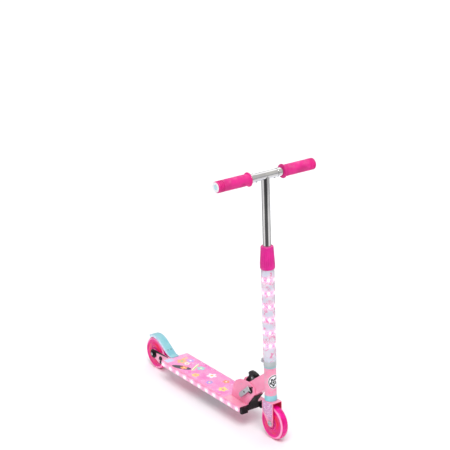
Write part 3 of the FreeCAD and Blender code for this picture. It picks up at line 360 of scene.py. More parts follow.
class Effects:
    """The surface effects that several finishes share, each a node group built once."""

    def __init__(self) -> None:
        """Build the groups."""
        self.drift = self._group("tone drift", self._drift, Place=None, Scale=25.0, Amount=0.5)
        self.grain = self._group("fine grain", self._grain, Place=None, Scale=900.0)
        self.edge_wear_and_sheen = self._group("edge wear and sheen", self._edge_wear, Place=None, Amount=0.3)
        self.dust = self._group("settled dust", self._dust, Place=None, Amount=0.2)
        self.scratches = self._group("hair scratches", self._scratches, Place=None, Amount=0.2)
        self.glitter = self._group("glitter flakes", self._glitter, Place=None, Scale=900.0)
        self.petals = self._group("flat flower", self._petals, Place=None, Centre=None,
                                  Reach=0.01, Petals=5.0, Turn=0.0)
        self.light_row = self._group("row of lights", self._light_row, Along=0.0, Across=0.0,
                                     First=0.0, Pitch=0.04, Reach=0.006)
        self.bubbles = self._group("printed bubbles", self._bubbles, Place=None, Scale=90.0)
        self.flags = self._group("studio flags", self._flags, Direction=None, Facing=-0.63)

    @staticmethod
    def _group(name: str, draw: Callable[..., Wires],
               **inputs: Optional[float]) -> bpy.types.NodeTree:
        """Build a node group.

        Args:
            name: The group's name.
            draw: Draws the effect from its inputs and gives its outputs by name.
            inputs: First value of each input; None makes it a vector.

        Returns:
            The group.
        """
        tree = bpy.data.node_groups.new(name, "ShaderNodeTree")
        for label, value in inputs.items():
            kind = "NodeSocketVector" if value is None else "NodeSocketFloat"
            socket = tree.interface.new_socket(name=label, in_out="INPUT", socket_type=kind)
            if value is not None:
                socket.default_value = value
        bench = Bench(tree)
        given = bench.wires(bench.add("NodeGroupInput", {}))
        made = draw(bench, *(given[label] for label in inputs))
        for label in made:
            tree.interface.new_socket(name=label, in_out="OUTPUT",
                                      socket_type="NodeSocketFloat")
        bench.add("NodeGroupOutput", made)
        return tree

    @staticmethod
    def _drift(bench: Bench, place: Wire, scale: Wire, amount: Wire) -> Wires:
        """Slow change of tone over a surface."""
        return {"Factor": bench.ramp(bench.noise(place, scale, 3.0), 0.3, 0.7) * amount}

    @staticmethod
    def _grain(bench: Bench, place: Wire, scale: Wire) -> Wires:
        """Fine relief of a moulded, sprayed or printed surface.

        Args:
            bench: The tree's bench.
            place: The place on the piece.
            scale: Size of the detail.

        Returns:
            The outputs by name.
        """
        fine = bench.noise(place, scale, 3.0)
        mottle = bench.noise(place, scale * 0.17, 2.0)
        return {"Height": fine * 0.7 + mottle * 0.3, "Mottle": mottle}

    @staticmethod
    def _edge_wear(bench: Bench, place: Wire, amount: Wire) -> Wires:
        """Where a finish is rubbed along its edges; the fender uses the same mask for a painted
        highlight along its lips.

        Args:
            bench: The tree's bench.
            place: The place on the piece.
            amount: Strength of the effect.

        Returns:
            The outputs by name.
        """
        edge = bench.take("ShaderNodeNewGeometry", "Pointiness")
        patch = bench.ramp(bench.noise(place, 180.0, 4.0), 0.42, 0.6)
        wear_and_sheen_mask = bench.ramp(edge, 0.53, 0.62) * patch
        return {"Mask": wear_and_sheen_mask.step("MULTIPLY", amount, clamp=True)}

    @staticmethod
    def _dust(bench: Bench, place: Wire, amount: Wire) -> Wires:
        """Thin dust that settles on faces that look up.

        Args:
            bench: The tree's bench.
            place: The place on the piece.
            amount: Strength of the effect.

        Returns:
            The outputs by name.
        """
        up = bench.split(bench.take("ShaderNodeNewGeometry", "Normal"))[2]
        cloud = bench.ramp(bench.noise(place, 70.0, 5.0), 0.4, 0.75)
        return {"Mask": bench.ramp(up, 0.1, 1.0) * cloud * amount}

    @staticmethod
    def _scratches(bench: Bench, place: Wire, amount: Wire) -> Wires:
        """Fine hair scratches in two directions.

        Args:
            bench: The tree's bench.
            place: The place on the piece.
            amount: Strength of the effect.

        Returns:
            The outputs by name.
        """
        lines = []
        for turn, stretch in ((0.4, (900.0, 18.0, 300.0)), (-0.9, (22.0, 800.0, 400.0))):
            spread = bench.take("ShaderNodeMapping", 0, {
                "Vector": place, "Rotation": (turn, turn * 0.5, turn), "Scale": stretch})
            lines.append(bench.ramp(bench.noise(spread, 1.0, 1.0), 0.72, 0.8))
        return {"Mask": lines[0].step("MAXIMUM", lines[1]) * amount}

    @staticmethod
    def _glitter(bench: Bench, place: Wire, scale: Wire) -> Wires:
        """Flakes of glitter: a tone for each flake, and the few that flash."""
        tone, chance, _ = bench.split(bench.cells(place, scale)["Color"])
        return {"Tone": tone, "Flash": bench.ramp(chance, 0.86, 0.93)}

    @staticmethod
    def _petals(bench: Bench, place: Wire, centre: Wire, reach: Wire, petals: Wire,
                turn: Wire) -> Wires:
        """A flat flower with a round heart, drawn around a centre.

        Args:
            bench: The tree's bench.
            place: The place on the piece.
            centre: The flower's centre.
            reach: How far it reaches.
            petals: Number of petals.
            turn: Its turn, in radians.

        Returns:
            The outputs by name.
        """
        across, along, _ = bench.split(bench.vectors("SUBTRACT", place, centre))
        angle = along.step("ARCTAN2", across) + turn
        lobes = abs((angle * petals * 0.5).step("COSINE"))
        share = bench.away(across, along) / reach
        return {"Flower": bench.ramp(lobes * 0.42 + 0.58 - share, 0.0, 0.05),
                "Heart": bench.ramp(share, 0.30, 0.25)}

    @staticmethod
    def _light_row(bench: Bench, along: Wire, across: Wire, first: Wire, pitch: Wire,
                   reach: Wire) -> Wires:
        """Glowing spots at even steps along one direction.

        Args:
            bench: The tree's bench.
            along: Place along the row.
            across: Place across it.
            first: Where the row starts.
            pitch: Step from one to the next.
            reach: How far it reaches.

        Returns:
            The outputs by name.
        """
        steps = (along - first) / pitch
        near = (steps - steps.step("ROUND")) * pitch / reach
        side = across / reach
        line = near * near
        return {name: (spread * -1.4).step("EXPONENT")
                for name, spread in (("Spot", line + side * side), ("Band", line))}

    @staticmethod
    def _bubbles(bench: Bench, place: Wire, scale: Wire) -> Wires:
        """Printed bubbles: thin rings and small dots.

        Args:
            bench: The tree's bench.
            place: The place on the piece.
            scale: Size of the detail.

        Returns:
            The outputs by name.
        """
        cell = bench.cells(place, scale)
        ringed, dotted, _ = bench.split(cell["Color"])
        ring = bench.ramp(abs(cell["Distance"] - 0.3), 0.055, 0.03)
        dot = bench.ramp(cell["Distance"], 0.16, 0.12)
        return {"Ring": ring * bench.ramp(ringed, 0.45, 0.5),
                "Dot": dot * bench.ramp(dotted, 0.5, 0.55)}

    @staticmethod
    def _flags(bench: Bench, direction: Wire, facing: Wire) -> Wires:
        """Bright panels and dark flags round the studio, as polished metal mirrors them.

        Args:
            bench: The tree's bench.
            direction: Where the mirrored light comes from.
            facing: Angle of the middle, in radians.

        Returns:
            The outputs by name.
        """
        forward, left, _ = bench.split(direction)
        turned = left.step("ARCTAN2", forward) - facing
        off = abs(turned.step("WRAP", math.pi, -math.pi))
        panel = bench.ramp(off, 0.72, 0.9) * bench.ramp(off, 2.1, 1.9)
        return {"Shade": panel * 0.86 + 0.12 + bench.ramp(off, 2.75, 2.9) * 0.5}


def new_material(name: str) -> tuple[bpy.types.Material, Bench, Node]:
    """An empty material with its surface shader.

    Args:
        name: The finish's name.

    Returns:
        The material, the bench for its tree, and its Principled shader.
    """
    material = bpy.data.materials.new(name)
    material.use_nodes = True
    material.node_tree.nodes.clear()
    bench = Bench(material.node_tree)
    shader = bench.add("ShaderNodeBsdfPrincipled", {})
    bench.add("ShaderNodeOutputMaterial", {0: Wire(bench, shader.outputs[0])})
    return material, bench, shader


class Recipe(Protocol):
    """What every finish has: its name, and what it gives its surface shader."""

    name: str

    def surface(self, bench: Bench, effects: Effects) -> Surface:
        """The surface shader's inputs by name."""


# ------------------------------------------------------------------ plain finishes

@dataclass(frozen=True)
class Finish:
    """A sprayed, moulded or metal surface with wear, dust and grain; on the fender the wear is a
    painted edge highlight.
    """

    name: str
    tint: Tint
    deep: Tint
    roughness: float
    metallic: float = 0.0
    coat: float = 0.0
    grain: float = 900.0
    relief: float = 0.12
    wear: float = 0.35
    bare_and_sheen: Tint = STEEL_GREY
    dust: float = 0.25
    scratches: float = 0.25
    flakes: float = 0.0
    second: Tint = INK
    gloss: float = 0.5

    def region(self, bench: Bench, place: Wire) -> Optional[Wire]:
        """Mask of the second colour; a plain finish has none."""
        return None

    def surface(self, bench: Bench, effects: Effects) -> Surface:
        """What the surface shader gets.

        Args:
            bench: The material's bench.
            effects: The shared surface effects.

        Returns:
            The shader's inputs by name.
        """
        place = bench.spot()
        colour = bench.blend(bench.mask(effects.drift, place, 0.9), self.tint, self.deep)
        region = self.region(bench, place)
        if region is not None:
            colour = bench.blend(region, colour, self.second)
        if self.flakes > 0.0:
            glitter = bench.effect(effects.glitter, Place=place, Scale=1100.0)
            colour = bench.blend(glitter["Flash"] * self.flakes, colour, WHITE)
        # Rubbed edges get the exposed tint; on the fender this is a painted highlight.
        wear_and_sheen_mask = bench.mask(effects.edge_wear_and_sheen, place, self.wear)
        marks = bench.mask(effects.scratches, place, self.scratches)
        dusty = bench.mask(effects.dust, place, self.dust)
        colour = bench.layers(colour, (wear_and_sheen_mask, self.bare_and_sheen), (marks * 0.35, self.bare_and_sheen),
                              (dusty * 0.5, DUST))
        grain = bench.effect(effects.grain, Place=place, Scale=self.grain)
        rough = dusty * 0.35 + marks * 0.3 + (grain["Mottle"] - 0.5) * 0.12
        return {"Base Color": colour,
                "Roughness": rough.step("ADD", self.roughness, clamp=True),
                "Normal": bench.bump(grain["Height"] - marks, self.relief),
                "Metallic": self.metallic, "Specular IOR Level": self.gloss,
                "Coat Weight": self.coat, "Coat Roughness": 0.08}


@dataclass(frozen=True)
class ForkWithPaintedShade(Finish):
    """Paint whose second colour, a deep crimson painted shade, fills the space between the fork's
    legs; in millimetres.
    """

    face: float = 15.6
    top: float = 62.6

    def region(self, bench: Bench, place: Wire) -> Wire:
        """Everything between the outer faces and below the crown's top, where the crimson shade is
        painted.

        Args:
            bench: The tree's bench.
            place: The place on the piece.

        Returns:
            The mask.
        """
        frame = ColumnFrame()
        rise = bench.climb(place, frame.matrix().translation, frame.lean)
        across = abs(bench.split(place)[1])
        return (bench.ramp(across, self.face * MM, (self.face - 0.7) * MM)
                * bench.ramp(rise, self.top * MM, (self.top - 0.6) * MM))


@dataclass(frozen=True)
class NeckPaint(Finish):
    """Paint whose second colour covers the latch's ears; in millimetres."""

    start: tuple[float, float] = (190.0, 138.6)
    rise: float = 37.2
    front: float = 214.0

    def region(self, bench: Bench, place: Wire) -> Wire:
        """Everything above the neck's top edge and behind the head tube.

        Args:
            bench: The tree's bench.
            place: The place on the piece.

        Returns:
            The mask.
        """
        above = bench.climb(place, (self.start[0] * MM, 0.0, self.start[1] * MM), self.rise)
        behind = bench.ramp(bench.split(place)[0], self.front * MM, (self.front - 1.0) * MM)
        return behind * bench.ramp(above, 0.6 * MM, 1.0 * MM)


@dataclass(frozen=True)
class AxleHead(Finish):
    """Metal whose second colour is a ring round a bright middle; in millimetres."""

    centre: tuple[float, float] = (-290.0, 50.0)
    bright: float = 4.2

    def region(self, bench: Bench, place: Wire) -> Wire:
        """Everything further from the axle's line than the bright middle.

        Args:
            bench: The tree's bench.
            place: The place on the piece.

        Returns:
            The mask.
        """
        middle = (self.centre[0] * MM, 0.0, self.centre[1] * MM)
        forward, _, up = bench.split(bench.vectors("SUBTRACT", place, middle))
        return bench.ramp(bench.away(forward, up), self.bright * MM,
                          (self.bright + 0.5) * MM)


@dataclass(frozen=True)
class BandPrint(Finish):
    """Pale print that turns into its second colour towards the left; in millimetres."""

    start: float = -16.0
    end: float = 4.0

    def region(self, bench: Bench, place: Wire) -> Wire:
        """The left part, with a wavy border."""
        wave = bench.noise(place, 60.0, 2.0) * 0.02
        return bench.ramp(bench.split(place)[1] + wave, self.start * MM, self.end * MM)


@dataclass(frozen=True)
class FenderWithPaintedReflection(Finish):
    """Teal plastic whose two turned-down flanks are paler, a painted reflection; in millimetres.
    """

    flank: float = 12.7

    def region(self, bench: Bench, place: Wire) -> Wire:
        """The flanks, where the paler painted reflection goes, by the distance from the middle."""
        across = abs(bench.split(place)[1])
        return bench.ramp(across, (self.flank - 0.5) * MM, self.flank * MM)


POWDER = {"roughness": 0.34, "coat": 0.35, "relief": 0.1}
PINKS = (BUBBLEGUM, BUBBLEGUM_DEEP)


class Paint(Enum):
    """The finishes that the scooter's plain pieces are given."""

    PINK = Finish("pink powder coat", *PINKS, **POWDER)
    PALE_PINK = Finish("pale pink powder coat", Tint(252, 176, 204), Tint(248, 150, 188), 0.3,
                       coat=0.4, relief=0.1, flakes=0.5)
    # The fork's second colour is painted shade on the crown's front and the legs' inner faces.
    FORK = ForkWithPaintedShade("pink fork paint with painted shade", *PINKS, **POWDER, second=Tint(198, 14, 66))
    NECK = NeckPaint("pink neck paint", *PINKS, **POWDER)
    AXLE_HEAD = AxleHead("blackened axle head", Tint(214, 214, 218), Tint(190, 192, 198), 0.3,
                         metallic=0.9, wear=0.0, dust=0.0, second=Tint(20, 18, 22))
    BLACK = Finish("black plastic", Tint(12, 8, 12), Tint(24, 16, 22), 0.45, gloss=0.22,
                   wear=0.1, bare_and_sheen=Tint(70, 64, 72), dust=0.06, scratches=0.06)
    TEAL = Finish("teal plastic", Tint(146, 206, 215), Tint(118, 188, 200), 0.36, wear=0.2,
                  bare_and_sheen=Tint(190, 226, 230), relief=0.16)
    # The fender's paler flanks are painted reflection; its rubbed edges at full strength in a
    # near-white tint are a painted highlight along the lips.
    FENDER = FenderWithPaintedReflection("teal fender plastic with painted light", Tint(146, 204, 212), Tint(118, 186, 200), 0.34,
                         wear=1.0, bare_and_sheen=Tint(228, 244, 250), relief=0.16, coat=0.2,
                         second=Tint(186, 210, 230))
    ICE = Finish("ice blue plastic", Tint(196, 230, 236), Tint(180, 218, 226), 0.3, wear=0.1)
    GREY = Finish("grey plastic", Tint(186, 190, 192), Tint(168, 174, 176), 0.42, wear=0.25,
                  relief=0.2)
    SEAFOAM = Finish("grey teal plastic", Tint(164, 196, 200), Tint(146, 182, 188), 0.4,
                     wear=0.2, relief=0.16)
    MILK = Finish("white plastic", WHITE, Tint(232, 232, 236), 0.35, wear=0.1, bare_and_sheen=DUST)
    BAND = BandPrint("lilac band", Tint(206, 200, 232), Tint(190, 208, 236), 0.4, flakes=0.6,
                     wear=0.1, relief=0.3, second=Tint(246, 150, 204))
    MAGENTA = Finish("magenta plastic", Tint(230, 18, 148), Tint(208, 10, 130), 0.36,
                     wear=0.25, bare_and_sheen=Tint(250, 120, 190), relief=0.2)
    RUBBER = Finish("magenta rubber", Tint(236, 24, 142), Tint(206, 14, 118), 0.55, wear=0.3,
                    bare_and_sheen=Tint(248, 110, 180), relief=0.45, grain=1600.0, scratches=0.1)
    STEEL = Finish("plated steel", Tint(206, 206, 210), Tint(176, 178, 184), 0.3, metallic=1.0,
                   wear=0.2, bare_and_sheen=WHITE, relief=0.08)
    SATIN = Finish("satin steel", Tint(178, 180, 184), Tint(150, 152, 158), 0.34, metallic=0.9,
                   wear=0.6, bare_and_sheen=WHITE, relief=0.15)
    CHROME = Finish("polished chrome", Tint(226, 226, 230), Tint(212, 212, 218), 0.09,
                    metallic=1.0, wear=0.1, bare_and_sheen=WHITE, relief=0.01, dust=0.15, scratches=0.12)
    DARK_STEEL = Finish("blackened steel", Tint(52, 52, 56), Tint(38, 38, 42), 0.35,
                        metallic=0.8, wear=0.5, relief=0.1)
    BRONZE = Finish("sintered bronze", Tint(186, 142, 84), Tint(160, 118, 66), 0.45,
                    metallic=1.0, relief=0.3)
    CELL = Finish("cell jacket", Tint(58, 60, 76), Tint(40, 44, 60), 0.4, coat=0.2)
    BOARD = Finish("white circuit board", Tint(236, 238, 232), Tint(216, 220, 212), 0.5,
                   relief=0.25)


# ------------------------------------------------------------------ special finishes

@dataclass(frozen=True)
class Urethane:
    """Cast translucent wheel material with painted light: a faint glow all over, as lit from the
    hub, and a pale painted highlight along its rim.
    """

    name: str = "lit magenta urethane"
    rim: float = 46.2
    hub: float = 31.0

    def surface(self, bench: Bench, effects: Effects) -> Surface:
        """The shader's inputs; the unrolled surface holds the turn and the radius.

        Args:
            bench: The tree's bench.
            effects: The shared surface effects.

        Returns:
            The shader's inputs by name.
        """
        place = bench.spot()
        radius = bench.split(bench.unrolled())[1]
        streaks = bench.noise(place, 45.0, 3.0, 0.6)
        ember = bench.ramp(radius, 0.04, self.hub * MM) * bench.ramp(streaks, 0.4, 0.6)
        # The pale rim band is painted glow and highlight, in the base colour and the emission
        # colour.
        rim = (bench.ramp(radius, (self.rim - 4.8) * MM, (self.rim - 2.0) * MM)
               * bench.ramp(radius, (self.rim + 2.6) * MM, (self.rim + 0.6) * MM))
        patch = bench.ramp(bench.noise(place, 26.0, 2.0), 0.36, 0.6)
        pale = rim * (patch * 0.45 + 0.45)
        seeds = bench.effect(effects.glitter, Place=place, Scale=420.0)["Flash"]
        grain = bench.effect(effects.grain, Place=place, Scale=700.0)
        colour = bench.layers(
            Tint(204, 2, 114), (bench.ramp(streaks, 0.35, 0.65), Tint(232, 8, 150)),
            (ember, Tint(222, 12, 66)), (pale, Tint(255, 176, 214)),
            (seeds * 0.12, Tint(170, 4, 70)))
        return {"Base Color": colour,
                "Emission Color": bench.blend(pale, Tint(236, 0, 118), Tint(255, 190, 224)),
                "Roughness": grain["Mottle"] * 0.1 + 0.14,
                "Normal": bench.bump(grain["Height"], 0.06), "Specular IOR Level": 0.35,
                "Emission Strength": 0.15, "Transmission Weight": 0.12, "IOR": 1.42,
                "Coat Weight": 0.12, "Coat Roughness": 0.06}


@dataclass(frozen=True)
class PrintedCasing:
    """Clear casing with printed bubbles, and the glow of its rings of lights painted on its
    surface.
    """

    name: str = "printed clear casing"
    radius: float = 18.5
    first: float = 232.5
    pitch: float = 38.8
    rings: int = 6
    around: int = 6

    def surface(self, bench: Bench, effects: Effects) -> Surface:
        """The shader's inputs; the unrolled surface holds the arc and the height.

        Args:
            bench: The tree's bench.
            effects: The shared surface effects.

        Returns:
            The shader's inputs by name.
        """
        flat = bench.unrolled()
        arc, height, _ = bench.split(flat)
        step = TAU * self.radius / self.around * MM

        def band(along: Wire, first: float, pitch: float, reach: float) -> Wire:
            """Bands of light at even steps, in metres."""
            return bench.effect(effects.light_row, Along=along, Across=0.0, First=first,
                                Pitch=pitch, Reach=reach)["Band"]

        column = band(arc, step / 2, step, 0.0042)
        rings, halo, haze = (band(height, self.first * MM, self.pitch * MM, reach)
                             for reach in (0.0055, 0.0115, 0.0078))
        low = (self.first - self.pitch / 2) * MM
        high = (self.first + self.pitch * (self.rings - 0.5)) * MM
        lit = (bench.ramp(height, low - 0.003, low + 0.003)
               * bench.ramp(height, high + 0.003, high - 0.003))
        # spot and near lay the painted glow of the lights into the base colour; glow is the
        # painted emission.
        spot = lit * (column * rings)
        near = lit * haze
        wander = bench.noise(flat, 30.0, 2.0)
        mottle = bench.ramp(bench.noise(flat, 150.0, 2.0), 0.4, 0.6, 0.25, 1.0)
        bubbles = bench.effect(effects.bubbles, Place=flat, Scale=62.0)
        dots = bench.effect(effects.bubbles, Place=flat, Scale=150.0)["Dot"]
        swirl = abs(bench.noise(flat, 40.0, 1.0, 1.6) - 0.5)
        thread = bench.ramp(swirl, 0.03, 0.016) * bench.ramp(wander, 0.42, 0.5)
        inked = bubbles["Ring"].step("MAXIMUM", thread).step("MAXIMUM", bubbles["Dot"] * 0.9)
        inked = inked * (1.0 - spot)
        speck = dots * bench.ramp(height, 0.222, 0.214)
        colour = bench.layers(
            Tint(222, 226, 240), (bench.ramp(wander, 0.35, 0.65), Tint(242, 232, 242)),
            (near * mottle, Tint(250, 132, 192)), (spot, Tint(255, 250, 253)),
            (inked * 0.75, Tint(222, 84, 150)), (speck * 0.8, Tint(206, 92, 142)))
        solid = inked.step("MAXIMUM", near).step("MAXIMUM", speck)
        glow = bench.layers(INK, (lit * halo * 0.3, Tint(255, 150, 205)),
                            (spot, Tint(255, 240, 248)))
        return {"Base Color": colour, "Alpha": bench.ramp(solid, 0.0, 1.0, 0.78, 0.97),
                "Emission Color": glow, "Roughness": bench.ramp(wander, 0.3, 0.7, 0.1, 0.2),
                "Emission Strength": 0.9, "IOR": 1.5, "Coat Weight": 0.4}


@dataclass(frozen=True)
class StripLens:
    """Frosted lens along the deck's side, with a glow painted at each light; in metres."""

    first: float
    pitch: float
    level: float
    name: str = "frosted strip lens"

    def surface(self, bench: Bench, effects: Effects) -> Surface:
        """The shader's inputs, from the place along the deck.

        Args:
            bench: The tree's bench.
            effects: The shared surface effects.

        Returns:
            The shader's inputs by name.
        """
        place = bench.spot()
        along, _, up = bench.split(place)
        off = up - self.level
        row, core = (bench.effect(effects.light_row, Along=along, Across=across,
                                  First=self.first, Pitch=self.pitch, Reach=reach)["Spot"]
                     for across, reach in ((off * 1.5, 0.0105), (off, 0.0045)))
        # The white row and the emission colour are painted glow of the lights behind the lens.
        colour = bench.layers(
            Tint(250, 178, 214),
            (bench.ramp(bench.noise(place, 160.0, 3.0), 0.35, 0.65), Tint(246, 150, 198)),
            (bench.ramp(abs(off), 0.0052, 0.0068) * 0.6, Tint(222, 92, 158)),
            (row, Tint(255, 246, 250)))
        glow = (row * 0.5).step("ADD", core * 0.5, clamp=True)
        grain = bench.effect(effects.grain, Place=place, Scale=1200.0)
        return {"Base Color": colour,
                "Emission Color": bench.blend(glow, Tint(60, 16, 40), Tint(255, 240, 248)),
                "Normal": bench.bump(grain["Height"], 0.15, 0.0003),
                "Roughness": grain["Mottle"] * 0.15 + 0.22,
                "Emission Strength": 0.45, "Coat Weight": 0.3}


@dataclass(frozen=True)
class Blossom:
    """One printed flower: its centre and reach in millimetres, and its colours."""

    across: float
    along: float
    reach: float
    petals: int
    turn: float
    tint: Tint
    heart: Tint


@dataclass(frozen=True)
class GlitterPrint:
    """Printed gritty sheet: glitter, bubbles, a dark oval, a pale sash and flowers."""

    name: str = "glitter deck print"
    blossoms: tuple[Blossom, ...] = (
        Blossom(-178, 18, 12, 5, 0.6, Tint(250, 206, 150), Tint(240, 130, 170)),
        Blossom(-163, -1, 17, 5, 0.3, Tint(248, 186, 128), Tint(150, 200, 160)),
        Blossom(-140, 2, 10, 5, 1.4, Tint(244, 236, 214), Tint(236, 120, 160)),
        Blossom(-150, 22, 13, 6, 0.9, Tint(204, 160, 232), Tint(250, 246, 250)),
        Blossom(-122, -22, 12, 5, 1.2, Tint(250, 150, 100), Tint(250, 226, 150)),
        Blossom(-88, 16, 14, 5, 0.1, Tint(160, 220, 214), Tint(252, 240, 190)),
        Blossom(-60, -24, 13, 6, 0.6, Tint(252, 214, 120), Tint(240, 120, 170)),
        Blossom(-28, 12, 16, 5, 0.8, Tint(250, 240, 248), Tint(250, 190, 90)),
        Blossom(4, -20, 12, 6, 0.2, Tint(180, 150, 226), Tint(250, 236, 170)),
        Blossom(30, 22, 12, 5, 1.0, Tint(250, 150, 110), Tint(250, 240, 220)),
        Blossom(64, -15, 15, 5, 0.4, Tint(248, 226, 130), Tint(232, 110, 170)),
        Blossom(86, 20, 10, 6, 0.7, Tint(160, 220, 214), Tint(250, 240, 248)),
    )

    def surface(self, bench: Bench, effects: Effects) -> Surface:
        """The shader's inputs: flat shapes placed over the glitter.

        Args:
            bench: The tree's bench.
            effects: The shared surface effects.

        Returns:
            The shader's inputs by name.
        """
        place = bench.spot()
        flakes = bench.effect(effects.glitter, Place=place, Scale=750.0)
        bubbles = bench.effect(effects.bubbles, Place=place, Scale=70.0)
        colour = bench.layers(
            Tint(248, 142, 198),
            (bench.ramp(bench.noise(place, 22.0, 2.0), 0.35, 0.65), Tint(236, 98, 184)),
            (flakes["Tone"] * 0.55, Tint(250, 176, 220)),
            (flakes["Flash"] * 0.5, Tint(190, 60, 170)),
            (bubbles["Ring"] * 0.6, Tint(252, 214, 238)),
            (bubbles["Dot"] * 0.7, Tint(206, 150, 230)),
            (self._oval(bench, place, -128.0, -27.0, 32.0, 11.0, 0.5), Tint(66, 62, 74)),
            (self._oval(bench, place, -104.0, 6.0, 26.0, 4.2, 2.1), Tint(246, 238, 206)),
            (self._oval(bench, place, -100.0, 3.0, 24.0, 1.8, 2.1), Tint(196, 214, 120)))
        for blossom in self.blossoms:
            drawn = bench.effect(
                effects.petals, Place=place, Centre=(blossom.across * MM, blossom.along * MM, 0),
                Reach=blossom.reach * MM, Petals=float(blossom.petals), Turn=blossom.turn)
            colour = bench.layers(colour, (drawn["Flower"], blossom.tint),
                                  (drawn["Heart"], blossom.heart))
        colour = bench.layers(colour, (bench.mask(effects.dust, place, 0.35) * 0.6, DUST))
        grit = bench.cells(place, 1500.0)["Distance"]
        return {"Base Color": colour, "Normal": bench.bump(grit, 0.5, 0.0003),
                "Roughness": bench.ramp(flakes["Flash"], 0.0, 1.0, 0.62, 0.3)}

    @staticmethod
    def _oval(bench: Bench, place: Wire, across: float, along: float, long: float,
              wide: float, turn: float) -> Wire:
        """Mask of a filled oval, its sizes in millimetres and its turn in radians.

        Args:
            bench: The tree's bench.
            place: The place on the piece.
            across: Centre, forward.
            along: Centre, to the left.
            long: Half length.
            wide: Half width.
            turn: Its turn, in radians.

        Returns:
            The mask.
        """
        local = bench.take("ShaderNodeMapping", 0, {
            "Vector": place, "Location": (across * MM, along * MM, 0.0),
            "Rotation": (0.0, 0.0, turn), "Scale": (long * MM, wide * MM, 1.0)},
            vector_type="TEXTURE")
        first, second, _ = bench.split(local)
        return bench.ramp(first * first + second * second, 1.03, 0.95)


@dataclass(frozen=True)
class GlitterSticker:
    """Lilac and pink glitter film with pale bubbles."""

    name: str = "glitter sticker"

    def surface(self, bench: Bench, effects: Effects) -> Surface:
        """The shader's inputs.

        Args:
            bench: The tree's bench.
            effects: The shared surface effects.

        Returns:
            The shader's inputs by name.
        """
        place = bench.spot()
        rise = bench.ramp(bench.split(place)[2], 0.05, 0.115)
        flakes = bench.effect(effects.glitter, Place=place, Scale=820.0)
        coarse = bench.effect(effects.glitter, Place=place, Scale=340.0)
        bubbles = bench.effect(effects.bubbles, Place=place, Scale=140.0)
        colour = bench.layers(
            Tint(240, 120, 178), (rise, Tint(222, 150, 200)),
            (flakes["Tone"] * 0.6, Tint(206, 128, 210)),
            (coarse["Tone"] * 0.55, Tint(176, 132, 168)),
            (coarse["Flash"] * 0.9, Tint(250, 226, 240)), (flakes["Flash"] * 0.8, WHITE),
            (bubbles["Ring"] * 0.6, Tint(252, 224, 244)))
        return {"Base Color": colour, "Normal": bench.bump(flakes["Tone"], 0.2, 0.0002),
                "Roughness": bench.ramp(flakes["Flash"], 0.0, 1.0, 0.4, 0.15),
                "Coat Weight": 0.5}


@dataclass(frozen=True)
class BadgeEnamel:
    """White oval badge with a black rim and a black flower."""

    name: str = "badge enamel"

    def surface(self, bench: Bench, effects: Effects) -> Surface:
        """The shader's inputs; the unrolled surface runs from -1 to 1 each way.

        Args:
            bench: The tree's bench.
            effects: The shared surface effects.

        Returns:
            The shader's inputs by name.
        """
        flat = bench.unrolled()
        away = bench.away(*bench.split(flat)[:2])

        def flower(across: float, along: float, reach: float, turn: float) -> Wires:
            """One flower of five petals."""
            return bench.effect(effects.petals, Place=flat, Centre=(across, along, 0.0),
                                Reach=reach, Petals=5.0, Turn=turn)

        big = flower(-0.12, -0.05, 0.64, 0.35)
        colour = bench.layers(
            WHITE, (bench.ramp(away, 0.78, 0.8) * bench.ramp(away, 0.945, 0.92), INK),
            (big["Flower"], INK), (flower(-0.12, -0.05, 0.3, 0.35)["Flower"], WHITE),
            (big["Heart"], INK), (flower(0.45, 0.45, 0.24, 0.9)["Flower"], INK))
        marks = bench.mask(effects.scratches, bench.spot(), 0.2)
        return {"Base Color": colour, "Roughness": marks * 0.5 + 0.18, "Coat Weight": 0.7}


@dataclass(frozen=True)
class Lamp:
    """A light-emitting diode's lit lens."""

    name: str = "lit diode"

    def surface(self, bench: Bench, effects: Effects) -> Surface:
        """The shader's inputs.

        Args:
            bench: The tree's bench.
            effects: The shared surface effects.

        Returns:
            The shader's inputs by name.
        """
        place = bench.spot()
        colour = bench.blend(bench.noise(place, 900.0, 1.0), Tint(255, 214, 238), WHITE)
        grain = bench.effect(effects.grain, Place=place, Scale=1500.0)
        return {"Base Color": colour, "Emission Color": colour,
                "Roughness": grain["Mottle"] * 0.2 + 0.15, "Emission Strength": 2.5}


# ------------------------------------------------------------------ meshes

def lying(x: float, y: float, z: float, toward_left: bool = True) -> Matrix:
    """A frame whose axis lies across the scooter.

    Args:
        x: Centre, forward, in millimetres.
        y: Centre, to the left, in millimetres.
        z: Centre, up, in millimetres.
        toward_left: The axis points to the rider's left.

    Returns:
        A matrix from the turned piece's frame to the scooter's.
    """
    turn = Matrix.Rotation(math.radians(-90 if toward_left else 90), 4, "X")
    return Matrix.Translation(Vector((x, y, z)) * MM) @ turn


